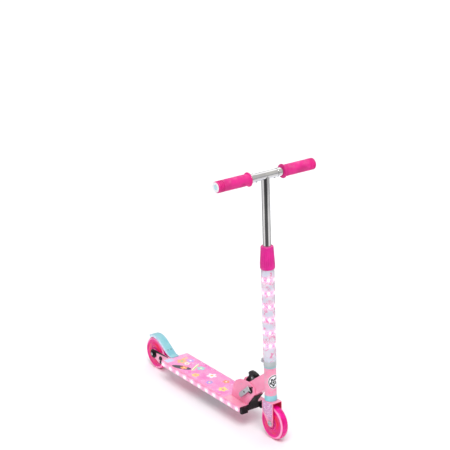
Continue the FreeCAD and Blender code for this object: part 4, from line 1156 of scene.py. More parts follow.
class Workshop:
    """Makes meshes in place and gives them their body and finish."""

    def __init__(self, effects: Effects) -> None:
        """Open the workshop with the shared effects."""
        self.effects = effects
        self.finished: dict[str, bpy.types.Material] = {}

    def dress(self, piece: Piece, finish: Union[Paint, Recipe]) -> Piece:
        """Give a piece one finish all over; a finish is built when it is first asked for.

        Args:
            piece: The piece.
            finish: A member of Paint, or a finish with a name and a surface.

        Returns:
            The piece.
        """
        chosen = finish.value if isinstance(finish, Paint) else finish
        if chosen.name not in self.finished:
            self.finished[chosen.name], bench, shader = new_material(chosen.name)
            bench.supply(shader, chosen.surface(bench, self.effects))
        piece.data.materials.clear()
        piece.data.materials.append(self.finished[chosen.name])
        LOG.info("%s gets %s", piece.name, chosen.name)
        return piece

    def place(self, piece: Piece, body: str, slot: str, finish: Union[Paint, Recipe],
              stands_for: Sequence[str] = ()) -> Piece:
        """Dress a new piece and fix it to the scooter.

        Args:
            piece: The new piece.
            body: The body that it moves with.
            slot: The record's material slot; not used.
            finish: Its finish.
            stands_for: CAD nodes that it takes the place of.

        Returns:
            The piece.
        """
        self.dress(piece, finish)
        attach(piece, body)
        if stands_for:
            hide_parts(*stands_for)
        LOG.info("%s rides on %s", piece.name, body)
        return piece

    @staticmethod
    def put(name: str, mesh: Mesh, sharp: float = 38.0, turned: bool = False) -> Piece:
        """Turn a worked mesh into an object.

        Args:
            name: The piece's name.
            mesh: The worked mesh, which is freed.
            sharp: Degrees above which an edge looks sharp.
            turned: Its faces look outwards already.

        Returns:
            The object.
        """
        if not turned:
            bmesh.ops.recalc_face_normals(mesh, faces=mesh.faces)
        data = bpy.data.meshes.new(name)
        mesh.to_mesh(data)
        mesh.free()
        data.polygons.foreach_set("use_smooth", [True] * len(data.polygons))
        data.set_sharp_from_angle(angle=math.radians(sharp))
        piece = bpy.data.objects.new(name, data)
        bpy.context.scene.collection.objects.link(piece)
        return piece

    @staticmethod
    def patch(mesh: Mesh, corners: Sequence[tuple[bmesh.types.BMVert, Point]]) -> None:
        """Add a face.

        Args:
            mesh: The mesh that it is added to; it has an unrolled surface.
            corners: Each corner, and its place on the unrolled surface.
        """
        face = mesh.faces.new([corner for corner, _ in corners])
        for loop, (_, flat) in zip(face.loops, corners):
            loop[mesh.loops.layers.uv["unrolled"]].uv = flat

    @staticmethod
    def skin(mesh: Mesh, rows: Sequence[Sequence[Vector]], joined: bool = False) -> None:
        """Lay a skin over rows of places.

        Args:
            mesh: The mesh that it is added to.
            rows: Closed rings with the same number of places, in metres.
            joined: Join the last row to the first, instead of a face at each end.
        """
        made = [[mesh.verts.new(place) for place in row] for row in rows]
        count = len(made[0])
        for first, second in zip(made, made[1:] + made[:1] if joined else made[1:]):
            for at in range(count):
                after = (at + 1) % count
                mesh.faces.new((first[at], first[after], second[after], second[at]))
        if not joined:
            mesh.faces.new(made[0])
            mesh.faces.new(list(reversed(made[-1])))

    @staticmethod
    def block(mesh: Mesh, middle: Vector, size: tuple[float, float, float],
              frame: Matrix = Matrix.Identity(4)) -> None:
        """Add a squared block.

        Args:
            mesh: The mesh that it is added to.
            middle: Its middle, in millimetres.
            size: Its three lengths, in millimetres.
            frame: The frame that it is drawn in.
        """
        stretch = Matrix.Diagonal(Vector((*size, 1.0 / MM)) * MM)
        bmesh.ops.create_cube(mesh, size=1.0,
                              matrix=frame @ Matrix.Translation(middle * MM) @ stretch)

    @staticmethod
    def round_off(mesh: Mesh, edges: Sequence[bmesh.types.BMEdge], width: float,
                  segments: int = 2) -> None:
        """Round edges off by a width in millimetres."""
        bmesh.ops.bevel(mesh, geom=edges, offset=width * MM, segments=segments, profile=0.5,
                        affect="EDGES")

    def revolve(self, name: str, profile: Sequence[Point], frame: Matrix, steps: int = 96,
                wave: Optional[Wave] = None, by_radius: bool = False, arc: float = 0.0) -> Piece:
        """Turn a closed profile about a frame's axis.

        Args:
            name: The piece's name.
            profile: Radius and height of each corner, in millimetres.
            frame: The frame that it is turned in.
            steps: Flats round the axis.
            wave: Change of radius, in millimetres, at an angle, radius and height.
            by_radius: Unroll by radius instead of height.
            arc: Radius in millimetres that scales the unrolled turn; 0 leaves a whole turn as 1.

        Returns:
            The piece.
        """
        mesh = bmesh.new()
        mesh.loops.layers.uv.new("unrolled")
        rings = []
        for radius, height in profile:
            ring = []
            for step in range(steps):
                angle = TAU * step / steps
                reach = radius + (wave(angle, radius, height) if wave else 0.0)
                local = Vector((reach * math.cos(angle), reach * math.sin(angle), height)) * MM
                ring.append(mesh.verts.new(frame @ local))
            rings.append(ring)
        turn = TAU * arc * MM if arc else 1.0
        for index, (radius, height) in enumerate(profile):
            after = (index + 1) % len(profile)
            ends = (radius if by_radius else height,
                    profile[after][0] if by_radius else profile[after][1])
            for step in range(steps):
                beyond = (step + 1) % steps
                corners = ((rings[index][step], step, ends[0]),
                           (rings[index][beyond], step + 1, ends[0]),
                           (rings[after][beyond], step + 1, ends[1]),
                           (rings[after][step], step, ends[1]))
                self.patch(mesh, [(corner, (at / steps * turn, end * MM))
                                  for corner, at, end in corners])
        return self.put(name, mesh)

    def plate(self, name: str, outline: Sequence[Point], low: float, high: float,
              frame: Matrix, edge: float = 0.15) -> Piece:
        """A flat plate that stands along the scooter, with softened edges.

        Args:
            name: The piece's name.
            outline: Corners as forward and up, in millimetres.
            low: Lower end across, in millimetres.
            high: Higher end across, in millimetres.
            frame: The frame that it is drawn in.
            edge: Width of the softened edges, in millimetres.

        Returns:
            The piece.
        """
        mesh = bmesh.new()
        sides = []
        for level in (low, high):
            sides.append([mesh.verts.new(frame @ (Vector((x, level, z)) * MM))
                          for x, z in outline])
        mesh.faces.new(sides[0])
        mesh.faces.new(list(reversed(sides[1])))
        count = len(outline)
        for at in range(count):
            after = (at + 1) % count
            mesh.faces.new((sides[0][at], sides[1][at], sides[1][after], sides[0][after]))
        bmesh.ops.recalc_face_normals(mesh, faces=mesh.faces)
        if edge > 0.0:
            self.round_off(mesh, mesh.edges, edge)
        return self.put(name, mesh, turned=True)


def bent(start: Vector, corner: Vector, end: Vector, share: float) -> Vector:
    """A place on the smooth bend that replaces a corner.

    Args:
        start: Where the bend leaves the first side.
        corner: The corner.
        end: Where the bend meets the second side.
        share: How far along the bend, from 0 to 1.

    Returns:
        The place.
    """
    return start.lerp(corner, share).lerp(corner.lerp(end, share), share)


def rounded_outline(corners: Sequence[tuple[float, float, float]], steps: int = 5) -> list[Point]:
    """An outline whose corners are turned into arcs.

    Args:
        corners: Each corner's two coordinates and its radius.
        steps: Straight pieces in each arc.

    Returns:
        The outline's points.
    """
    points: list[Point] = []
    count = len(corners)
    for at, (x, y, radius) in enumerate(corners):
        here = Vector((x, y))
        back = Vector(corners[at - 1][:2]) - here
        ahead = Vector(corners[(at + 1) % count][:2]) - here
        if radius <= 0.0:
            points.append((x, y))
            continue
        half = back.angle(ahead) / 2
        reach = min(radius / math.tan(half), back.length * 0.49, ahead.length * 0.49)
        start = here + back.normalized() * reach
        end = here + ahead.normalized() * reach
        for step in range(steps + 1):
            points.append(tuple(bent(start, here, end, step / steps)))
    return points


# ------------------------------------------------------------------ sub-assemblies

@dataclass
class RollingWheel:
    """Tyre and hub of one wheel; sizes in millimetres."""

    end: str
    axle_x: float
    axle_z: float = 50.0
    radius: float = 50.0
    half: float = 12.0
    core: float = 21.0
    seat: float = 11.1
    ribs: int = 10
    tyre_steps: int = 144
    hub_steps: int = 120

    def build(self, shop: Workshop) -> None:
        """Make the tyre, the hub and its ribs.

        Args:
            shop: The workshop.
        """
        frame = lying(self.axle_x, 0.0, self.axle_z)
        body = self.end + "_wheel"
        tyre = shop.revolve(self.end + "_wheel_tyre", self._tyre_profile(), frame,
                            self.tyre_steps, by_radius=True)
        shop.place(tyre, body, "magenta_tyre", Urethane(), (self.end + "_tyre",))
        hub = shop.revolve(self.end + "_wheel_hub", self._hub_profile(), frame,
                           self.hub_steps, by_radius=True)
        shop.place(hub, body, "core_plastic", Paint.MAGENTA, (self.end + "_wheel_core",))
        spokes = self._spokes(shop)
        shop.place(spokes, body, "core_plastic", Paint.MAGENTA)

    def _tyre_profile(self) -> list[Point]:
        """Crowned tread, rounded shoulders and a shallow dish in each side.

        Returns:
            The profile's corners.
        """
        side = [(self.core, self.half - 0.2), (self.core + 6.0, self.half),
                (self.core + 8.0, self.half - 0.3), (self.core + 9.5, self.half - 1.2),
                (self.core + 12.0, self.half - 1.6), (self.core + 17.0, self.half - 1.6),
                (self.core + 19.5, self.half - 1.1), (self.core + 21.0, self.half - 0.4),
                (self.core + 22.4, self.half - 0.5)]
        shoulder = []
        centre = (self.radius - 6.8, self.half - 7.2)
        for step in range(7):
            angle = math.radians(86 - 14 * step)
            shoulder.append((centre[0] + 6.5 * math.cos(angle), centre[1] + 6.7 * math.sin(angle)))
        crown = [(self.radius - 0.1, 3.2), (self.radius, 0.0)]
        upper = side + shoulder + crown
        return upper + [(radius, -height) for radius, height in reversed(upper[:-1])]

    def _hub_profile(self) -> list[Point]:
        """Hub ring with a raised lip round the bearing on each side.

        Returns:
            The profile's corners.
        """
        upper = [(self.seat, self.half - 0.8), (self.seat + 0.4, self.half - 0.3),
                 (self.seat + 2.2, self.half - 0.3), (self.seat + 2.8, self.half - 0.9),
                 (self.seat + 3.0, self.half - 3.0), (self.core - 2.2, self.half - 3.0),
                 (self.core - 1.8, self.half - 0.8), (self.core - 1.4, self.half - 0.3),
                 (self.core - 0.05, self.half - 0.3)]
        return upper + [(radius, -height) for radius, height in reversed(upper)]

    def _spokes(self, shop: Workshop) -> Piece:
        """Short raised ribs between the hub's two lips, on both sides.

        Args:
            shop: The workshop.

        Returns:
            The piece.
        """
        mesh = bmesh.new()
        frame = lying(self.axle_x, 0.0, self.axle_z)
        inner, outer = self.seat + 2.4, self.core - 1.7
        for side in (-1, 1):
            for rib in range(self.ribs):
                turn = Matrix.Rotation(TAU * rib / self.ribs, 4, "Z")
                middle = Vector(((inner + outer) / 2, 0.0, (self.half - 2.1) * side))
                shop.block(mesh, middle, (outer - inner, 1.8, 2.4), frame @ turn)
        shop.round_off(mesh, mesh.edges, 0.4)
        return shop.put(self.end + "_wheel_ribs", mesh)


@dataclass
class LitColumn:
    """Clear light casing and twist collar round the steering column; sizes in millimetres."""

    frame: Matrix
    low: float = 183.0
    high: float = 455.4
    radius: float = 18.5
    wall: float = 1.8
    collar_low: float = 455.7
    collar_high: float = 521.5
    flutes: int = 22
    casing_steps: int = 120
    steps_per_flute: int = 8

    def build(self, shop: Workshop) -> None:
        """Make the casing and the collar."""
        self._casing(shop)
        self._collar(shop)

    def _casing(self, shop: Workshop) -> None:
        """Clear tube with rounded rims and closed ends.

        Args:
            shop: The workshop.
        """
        inner = self.radius - self.wall
        outer = [(14.2, self.low), (self.radius - 0.7, self.low),
                 (self.radius - 0.2, self.low + 0.3), (self.radius, self.low + 0.9)]
        rise = [(self.radius, self.low + 0.9 + step * (self.high - self.low - 1.8) / 12)
                for step in range(1, 13)]
        top = [(self.radius - 0.2, self.high - 0.3), (self.radius - 0.7, self.high),
               (14.2, self.high), (14.2, self.high - 2.0), (inner, self.high - 2.0),
               (inner, self.low + 2.0), (14.2, self.low + 2.0)]
        casing = shop.revolve("casing_shell", outer + rise + top, self.frame,
                              self.casing_steps, arc=self.radius)
        shop.place(casing, "column", "clear_plastic", PrintedCasing(), ("light_casing",))

    def _collar(self, shop: Workshop) -> None:
        """Tapered collar with flutes that fade out towards both rims.

        Args:
            shop: The workshop.
        """
        low, high = self.collar_low, self.collar_high
        outside = [(18.6, low), (19.6, low + 0.5), (20.4, low + 2.0), (20.9, low + 4.2)]
        for step in range(25):
            share = step / 24
            height = low + 6.0 + share * (high - low - 9.5)
            outside.append((20.9 - 2.9 * max(0.0, share - 0.16) / 0.84, height))
        outside += [(18.0, high - 2.2), (17.6, high - 0.8), (16.8, high - 0.1),
                    (15.6, high), (14.5, high), (14.3, high - 0.3), (14.3, low)]

        def flute(angle: float, radius: float, height: float) -> float:
            """Depth of the flutes at one place.

            Args:
                angle: Turn, in radians.
                radius: Radius, in millimetres.
                height: Height, in millimetres.

            Returns:
                Change of radius, in millimetres.
            """
            if radius < 17.0:
                return 0.0
            rise = min(1.0, max(0.0, (height - low - 9.0) / 6.0))
            fall = min(1.0, max(0.0, (high - 6.0 - height) / 5.0))
            crest = abs(math.cos(angle * self.flutes / 2)) ** 1.4
            return -1.1 * rise * fall * (1.0 - crest)

        collar = shop.revolve("collar_shell", outside, self.frame,
                              self.flutes * self.steps_per_flute, wave=flute)
        shop.place(collar, "lock_collar", "magenta_plastic", Paint.MAGENTA, ("lock_collar",))


@dataclass
class Handlebar:
    """Grips and end plugs on the chrome T-bar; sizes in millimetres."""

    frame: Matrix
    height: float = 723.8
    start: float = 56.5
    end: float = 165.0
    radius: float = 16.5
    flange: float = 19.98
    knurls: int = 30
    steps_per_knurl: int = 8
    plug_steps: int = 72

    def build(self, shop: Workshop) -> None:
        """Make both sides.

        Args:
            shop: The workshop.
        """
        for side_name, side in SIDES:
            turn = Matrix.Rotation(math.radians(-90.0 * side), 4, "X")
            frame = self.frame @ Matrix.Translation(Vector((0.0, 0.0, self.height)) * MM) @ turn
            self._grip(shop, side_name, frame)
            self._plug(shop, side_name, frame)

    def _grip(self, shop: Workshop, side_name: str, frame: Matrix) -> None:
        """Grip with a rounded flange, a knurled palm, ribs and a rounded end.

        Args:
            shop: The workshop.
            side_name: right or left.
            frame: The frame that it is drawn in.
        """
        start, end, body, brim = self.start, self.end, self.radius - 0.5, self.flange
        profile = [(9.2, start), (brim - 1.6, start), (brim - 0.5, start + 0.4),
                   (brim, start + 1.3), (brim - 0.1, start + 2.8), (brim - 0.8, start + 3.7),
                   (brim - 2.4, start + 4.1), (16.3, start + 5.0), (body, start + 7.0)]
        palm_low, palm_high = start + 9.0, end - 24.0
        rows = 58
        profile += [(body, palm_low + (palm_high - palm_low) * row / rows)
                    for row in range(rows + 1)]
        for groove in range(3):
            low = palm_high + 2.6 + groove * 5.6
            profile += [(body - 0.2, low), (body + 0.5, low + 0.7), (body + 0.5, low + 2.6),
                        (body - 0.2, low + 3.3), (body - 1.6, low + 3.8), (body - 1.6, low + 5.1)]
        profile += [(body - 0.2, end - 4.4), (body + 0.45, end - 3.8), (body + 0.4, end - 2.4),
                    (body - 0.4, end - 0.8), (body - 1.6, end), (9.2, end)]

        def knurl(angle: float, radius: float, height: float) -> float:
            """Low diamonds over the palm.

            Args:
                angle: Turn, in radians.
                radius: Radius, in millimetres.
                height: Height, in millimetres.

            Returns:
                Change of radius, in millimetres.
            """
            if abs(radius - body) > 0.01 or not palm_low < height < palm_high:
                return 0.0
            fade = min(1.0, (height - palm_low) / 3.0, (palm_high - height) / 3.0)
            slope = (height - palm_low) / 5.2 * math.pi
            turn = angle * self.knurls / 2
            return 0.5 * fade * abs(math.sin(turn + slope) * math.sin(turn - slope))

        grip = shop.revolve(side_name + "_hand_grip", profile, frame,
                            self.knurls * self.steps_per_knurl, wave=knurl)
        shop.place(grip, "handlebar", "magenta_rubber", Paint.RUBBER, (side_name + "_grip",))

    def _plug(self, shop: Workshop, side_name: str, frame: Matrix) -> None:
        """White cap ring and its teal centre.

        Args:
            shop: The workshop.
            side_name: right or left.
            frame: The frame that it is drawn in.
        """
        end = self.end
        ring = [(6.4, end - 6.0), (7.4, end + 0.05), (13.1, end + 0.05), (13.9, end + 0.5),
                (14.0, end + 0.9), (13.5, end + 1.6), (12.4, end + 1.95), (8.6, end + 1.95),
                (8.0, end + 1.7), (7.7, end + 1.2), (6.0, end + 1.1)]
        piece = shop.revolve(side_name + "_plug_ring", ring, frame, self.plug_steps)
        shop.place(piece, "handlebar", "white_plastic", Paint.MILK, ("grip_plugs",))
        dome = [(0.05, end + 0.6), (7.6, end + 0.6), (7.7, end + 1.0), (7.2, end + 1.45),
                (5.0, end + 1.75), (0.05, end + 1.85)]
        centre = shop.revolve(side_name + "_plug_centre", dome, frame, self.plug_steps)
        shop.place(centre, "handlebar", "teal_plastic", Paint.ICE)


@dataclass
class HeadAndFork:
    """Badge on the head tube and glitter film on the fork's legs; sizes in millimetres."""

    frame: Matrix
    badge_height: float = 123.0
    badge_half: float = 21.0
    badge_turn: float = 61.0
    tube: float = 17.0
    fork_face: float = 16.3

    def build(self, shop: Workshop) -> None:
        """Make the badge and the films.

        Args:
            shop: The workshop.
        """
        self._badge(shop)
        outline = rounded_outline((
            (-17.4, 60.6, 4.0), (26.4, 60.6, 3.0), (25.0, 11.0, 3.5), (6.8, 9.6, 4.0),
            (-17.4, 30.4, 4.0)))
        for side_name, side in SIDES:
            near, far = sorted((self.fork_face * side, (self.fork_face + 0.2) * side))
            film = shop.plate(side_name + "_fork_film", outline, near, far, self.frame, 0.05)
            shop.place(film, "column", "pink_paint", GlitterSticker())

    def _badge(self, shop: Workshop) -> None:
        """Domed oval that wraps round the front of the head tube.

        Args:
            shop: The workshop.
        """
        mesh = bmesh.new()
        mesh.loops.layers.uv.new("unrolled")
        rounds, steps, rise = 9, 72, 0.55
        shares = [ring / rounds for ring in range(1, rounds + 1)] + [1.012]
        lifts = [rise - 0.15 * share ** 3 for share in shares[:-1]] + [-0.1]

        def corner(share: float, lift: float, angle: float) -> tuple[bmesh.types.BMVert, Point]:
            """A corner on the badge, and its place on the unrolled surface.

            Args:
                share: Share of the badge's half width.
                lift: Height over the tube, in millimetres.
                angle: Turn, in radians.

            Returns:
                The corner, and its flat place.
            """
            flat = (share * math.cos(angle), share * math.sin(angle))
            turn = math.radians(self.badge_turn) * flat[0]
            reach = self.tube + lift
            local = Vector((reach * math.cos(turn), reach * math.sin(turn),
                            self.badge_height + self.badge_half * flat[1])) * MM
            return mesh.verts.new(self.frame @ local), flat

        centre = corner(0.0, rise, 0.0)
        rings = [[corner(share, lift, TAU * step / steps) for step in range(steps)]
                 for share, lift in zip(shares, lifts)]
        for step in range(steps):
            after = (step + 1) % steps
            shop.patch(mesh, (centre, rings[0][step], rings[0][after]))
            for inner, outer in zip(rings, rings[1:]):
                shop.patch(mesh, (inner[step], outer[step], outer[after], inner[after]))
        badge = shop.put("head_badge", mesh, 60.0)
        shop.place(badge, "neck", "white_plastic", BadgeEnamel())


@dataclass
class QuickRelease:
    """Rounded silver lever of the folding hinge, with a black disc as the painted shade of its
    hole; sizes in millimetres.
    """

    pivot_x: float = 198.6
    pivot_y: float = -24.3
    pivot_z: float = 124.0
    droop: float = 42.0
    thick: float = 2.9
    root: float = 7.0
    half: float = 7.8
    tip: float = 46.4
    hole: float = 23.0
    hole_steps: int = 40
    corner: float = 1.3

    def build(self, shop: Workshop) -> None:
        """Make the lever, and the black disc painted as its shaded hole.

        Args:
            shop: The workshop.
        """
        frame = (Matrix.Translation(Vector((self.pivot_x, self.pivot_y, self.pivot_z)) * MM)
                 @ Matrix.Rotation(math.radians(180.0 - self.droop), 4, "Y"))
        mesh = bmesh.new()
        shop.skin(mesh, [[frame @ (place * MM) for place in self._section(*size)]
                         for size in self._sizes()])
        shop.place(shop.put("lever_blade", mesh, 50.0), "quick_release", "steel", Paint.SATIN,
                   ("quick_release_lever",))
        # A black disc on the face stands for the hole: painted shade, not a recess.
        near = -self.thick
        rim = [(0.05, near - 0.02), (3.3, near - 0.02), (3.6, near + 0.3), (3.6, near + 0.9),
               (0.05, near + 0.9)]
        place = frame @ Matrix.Translation(Vector((self.hole, 0.0, 0.0)) * MM)
        across = Matrix.Rotation(math.radians(-90.0), 4, "X")
        hole = shop.revolve("lever_hole_painted_shade", rim, place @ across, self.hole_steps)
        shop.place(hole, "quick_release", "black_plastic", Paint.BLACK)

    def _sizes(self) -> list[tuple[float, float, float]]:
        """Place along, half width and half thickness, from the round root to the tip.

        Returns:
            The sizes in order.
        """
        sizes = []
        for step in range(8):
            angle = math.radians(4.0 + 86.0 * step / 7)
            sizes.append((-self.thick * math.cos(angle), self.root,
                          self.thick * math.sin(angle)))
        sizes += [(14.0, self.root + 0.2, self.thick), (30.0, self.half - 0.2, self.thick)]
        for step in range(16):
            angle = math.radians(88.0 * step / 15)
            depth = min(self.corner, self.half * (1.0 - math.sin(angle)))
            thick = self.thick - self.corner + math.sqrt(
                self.corner ** 2 - (self.corner - depth) ** 2)
            sizes.append((self.tip + self.half * math.sin(angle), self.half * math.cos(angle),
                          thick))
        return sizes

    def _section(self, along: float, half: float, thick: float) -> list[Vector]:
        """Rounded oblong across the lever.

        Args:
            along: Place from the pivot, in millimetres.
            half: Half of the width.
            thick: Half of the thickness.

        Returns:
            The ring of places.
        """
        corner = min(self.corner, half * 0.8, thick * 0.8)
        ring = []
        for quarter, (side, rise) in enumerate(((1, 1), (-1, 1), (-1, -1), (1, -1))):
            for step in range(5):
                angle = math.radians(90.0 * quarter + 22.5 * step)
                ring.append(Vector((along, rise * (thick - corner) + corner * math.sin(angle),
                                    side * (half - corner) + corner * math.cos(angle))))
        return ring


@dataclass(frozen=True)
class Station:
    """One cross-section of the fender: its place, outward direction, half width and lip."""

    place: Vector
    outward: Vector
    half: float
    lip: float


@dataclass
class RearEnd:
    """Fender brake with its rivets, and black strips along the dropouts' top edges; in
    millimetres.
    """

    axle_x: float = -290.0
    axle_z: float = 50.0
    pin_x: float = -207.2
    pin_z: float = 57.0
    outer: float = 58.4
    half: float = 13.5
    thick: float = 1.8
    lip: float = 7.2
    bend: float = 58.0
    tip: float = 121.0
    foot_x: float = -197.0
    foot_z: float = 69.4
    arc_steps: int = 40
    eye_steps: int = 40
    rivet_steps: int = 24
    rivet_station: int = 15

    def build(self, shop: Workshop) -> None:
        """Make the fender, its rivets and the dark strips.

        Args:
            shop: The workshop.
        """
        sheet = self._sheet(shop)
        shop.place(sheet, "fender", "teal_plastic", Paint.FENDER, ("fender_brake",))
        shop.place(self._rivets(shop), "fender", "black_plastic", Paint.DARK_STEEL)
        # A black strip along the top edge of each dropout.
        top_strip = rounded_outline((
            (-300.0, 59.5, 2.0), (-290.0, 63.6, 3.0), (-276.0, 64.2, 4.0), (-214.0, 65.6, 0.4),
            (-214.0, 64.0, 0.4), (-274.0, 58.0, 4.0), (-290.0, 60.5, 3.0)))
        for side_name, side in SIDES:
            near, far = sorted((16.3 * side, 18.3 * side))
            piece = shop.plate(side_name + "_dropout_trim", top_strip, near, far, Matrix.Identity(4),
                               0.4)
            shop.place(piece, "deck", "black_plastic", Paint.BLACK)

    def _stations(self) -> list[Station]:
        """Places along the fender, from its foot on the deck to its tip.

        Returns:
            The cross-sections in order.
        """
        bend = math.radians(self.bend)
        meet = self._on_arc(bend)
        slope = Vector((math.sin(bend), 0.0, -math.cos(bend)))
        outward = Vector((math.cos(bend), 0.0, math.sin(bend)))
        low = meet + slope * ((meet.z - self.foot_z) / -slope.z)
        up = Vector((0.0, 0.0, 1.0))
        stations = [Station(Vector((self.foot_x - step, 0.0, self.foot_z)), up,
                            self.half - 2.0 * (1.0 - min(1.0, step / 3.0)) ** 2, 0.0)
                    for step in range(4)]
        turn_start = low + Vector((4.0, 0.0, 0.0))
        turn_end = low - slope * 4.0
        stations.append(Station(turn_start.lerp(stations[-1].place, 0.5), up, self.half, 0.0))
        for step in range(7):
            share = step / 6
            stations.append(Station(bent(turn_start, low, turn_end, share),
                                    up.lerp(outward, share).normalized(), self.half,
                                    share * 0.5))
        for step in range(1, 13):
            share = step / 12
            stations.append(Station(turn_end.lerp(meet, share), outward, self.half,
                                    min(1.0, 0.5 + share * 2.0)))
        steps = self.arc_steps
        sweep = math.radians(self.tip) - bend
        for step in range(1, steps + 1):
            angle = bend + sweep * step / steps
            behind = (steps - step) / steps * sweep * self.outer
            left = min(1.0, behind / 3.5)
            width = self.half - 3.0 * (1.0 - math.sqrt(max(0.0, 1.0 - (1.0 - left) ** 2)))
            fade = 1.0 - min(1.0, max(0.0, behind - 2.6) / 5.0)
            direction = Vector((math.cos(angle), 0.0, math.sin(angle)))
            stations.append(Station(self._on_arc(angle), direction, width,
                                    0.25 + 0.75 * math.sqrt(1.0 - fade ** 2)))
        return stations

    def _on_arc(self, angle: float) -> Vector:
        """A place on the fender's outer arc."""
        return Vector((self.axle_x + self.outer * math.cos(angle), 0.0,
                       self.axle_z + self.outer * math.sin(angle)))

    def _sheet(self, shop: Workshop) -> Piece:
        """Shallow channel along the stations, with its two hinge eyes.

        Args:
            shop: The workshop.

        Returns:
            The piece.
        """
        mesh = bmesh.new()
        rows = []
        for station in self._stations():
            half = station.half
            low = -self.thick - (self.lip - self.thick) * station.lip
            fold = -self.thick - 0.4 * station.lip
            across = [(-half, low), (-half, -0.9), (-half + 0.3, -0.35), (-half + 1.0, 0.0),
                      (-half * 0.4, 0.12), (half * 0.4, 0.12), (half - 1.0, 0.0),
                      (half - 0.3, -0.35), (half, -0.9), (half, low),
                      (half - 1.3, low), (half - 1.4, fold),
                      (half - 1.9, -self.thick), (-half + 1.9, -self.thick),
                      (-half + 1.4, fold), (-half + 1.3, low)]
            rows.append([(station.place + Vector((0.0, y, 0.0)) + station.outward * lift) * MM
                         for y, lift in across])
        shop.skin(mesh, rows)
        for low, high in ((-12.2, -5.2), (5.2, 12.2)):
            shop.skin(mesh, self._eye(low, high), joined=True)
            middle = Vector((self.pin_x, (low + high) / 2, self.foot_z - 6.0))
            shop.block(mesh, middle, (8.4, high - low - 0.6, 8.0))
        return shop.put("fender_sheet", mesh, 32.0)

    def _eye(self, low: float, high: float) -> list[list[Vector]]:
        """Rings of one hinge eye between two places across.

        Args:
            low: Lower end, in millimetres.
            high: Higher end, in millimetres.

        Returns:
            The rings of places.
        """
        profile = ((2.6, low), (4.2, low), (4.5, low + 0.3), (4.5, high - 0.3), (4.2, high),
                   (2.6, high))
        turns = [TAU * step / self.eye_steps for step in range(self.eye_steps)]
        return [[Vector((self.pin_x + radius * math.cos(turn), y,
                         self.pin_z + radius * math.sin(turn))) * MM for turn in turns]
                for radius, y in profile]

    def _rivets(self, shop: Workshop) -> Piece:
        """Two domed rivets low on the fender.

        Args:
            shop: The workshop.

        Returns:
            The piece.
        """
        mesh = bmesh.new()
        station = self._stations()[self.rivet_station]
        outward = station.outward.to_track_quat("Z", "Y").to_matrix().to_4x4()
        turns = [TAU * step / self.rivet_steps for step in range(self.rivet_steps)]
        for side in (-5.5, 5.5):
            centre = station.place + Vector((0.0, side, 0.0))
            frame = Matrix.Translation(centre * MM) @ outward
            dome = [(1.7, -0.3), (1.7, 0.25), (1.5, 0.5), (1.1, 0.75), (0.5, 0.9), (0.05, 0.95)]
            shop.skin(mesh, [[frame @ (Vector((radius * math.cos(turn),
                                               radius * math.sin(turn), lift)) * MM)
                              for turn in turns] for radius, lift in dome])
        return shop.put("fender_rivets", mesh, 60.0)


@dataclass
class Deck:
    """Deck channel's print, bands and light strips; sizes in millimetres."""

    rear: float = -202.0
    front: float = 186.0
    top: float = 67.0
    lights: int = 11
    first: float = 10.5

    def build(self, shop: Workshop, nodes: dict[str, Piece]) -> None:
        """Dress the deck and add the band behind its print.

        Args:
            shop: The workshop.
            nodes: CAD pieces by name.
        """
        shop.dress(nodes["deck_grip_sheet"], GlitterPrint())
        pitch = (self.front - self.rear - 2 * self.first) / (self.lights - 1)
        lens = StripLens((self.rear + self.first) * MM, pitch * MM, (self.top - 8.5) * MM)
        shop.dress(nodes["deck_light_lenses"], lens)
        shop.place(self._band(shop), "deck", "grip_sheet", Paint.BAND)

    def _band(self, shop: Workshop) -> Piece:
        """Thin pale band across the deck behind its print.

        Args:
            shop: The workshop.

        Returns:
            The piece.
        """
        mesh = bmesh.new()
        shop.block(mesh, Vector((self.rear + 12.4, 0.0, self.top + 0.125)),
                   (21.5, 84.0, 0.25))
        upright = [edge for edge in mesh.edges
                   if abs((edge.verts[0].co - edge.verts[1].co).z) > 0.1 * MM]
        shop.round_off(mesh, upright, 3.0, 5)
        return shop.put("deck_rear_band", mesh)


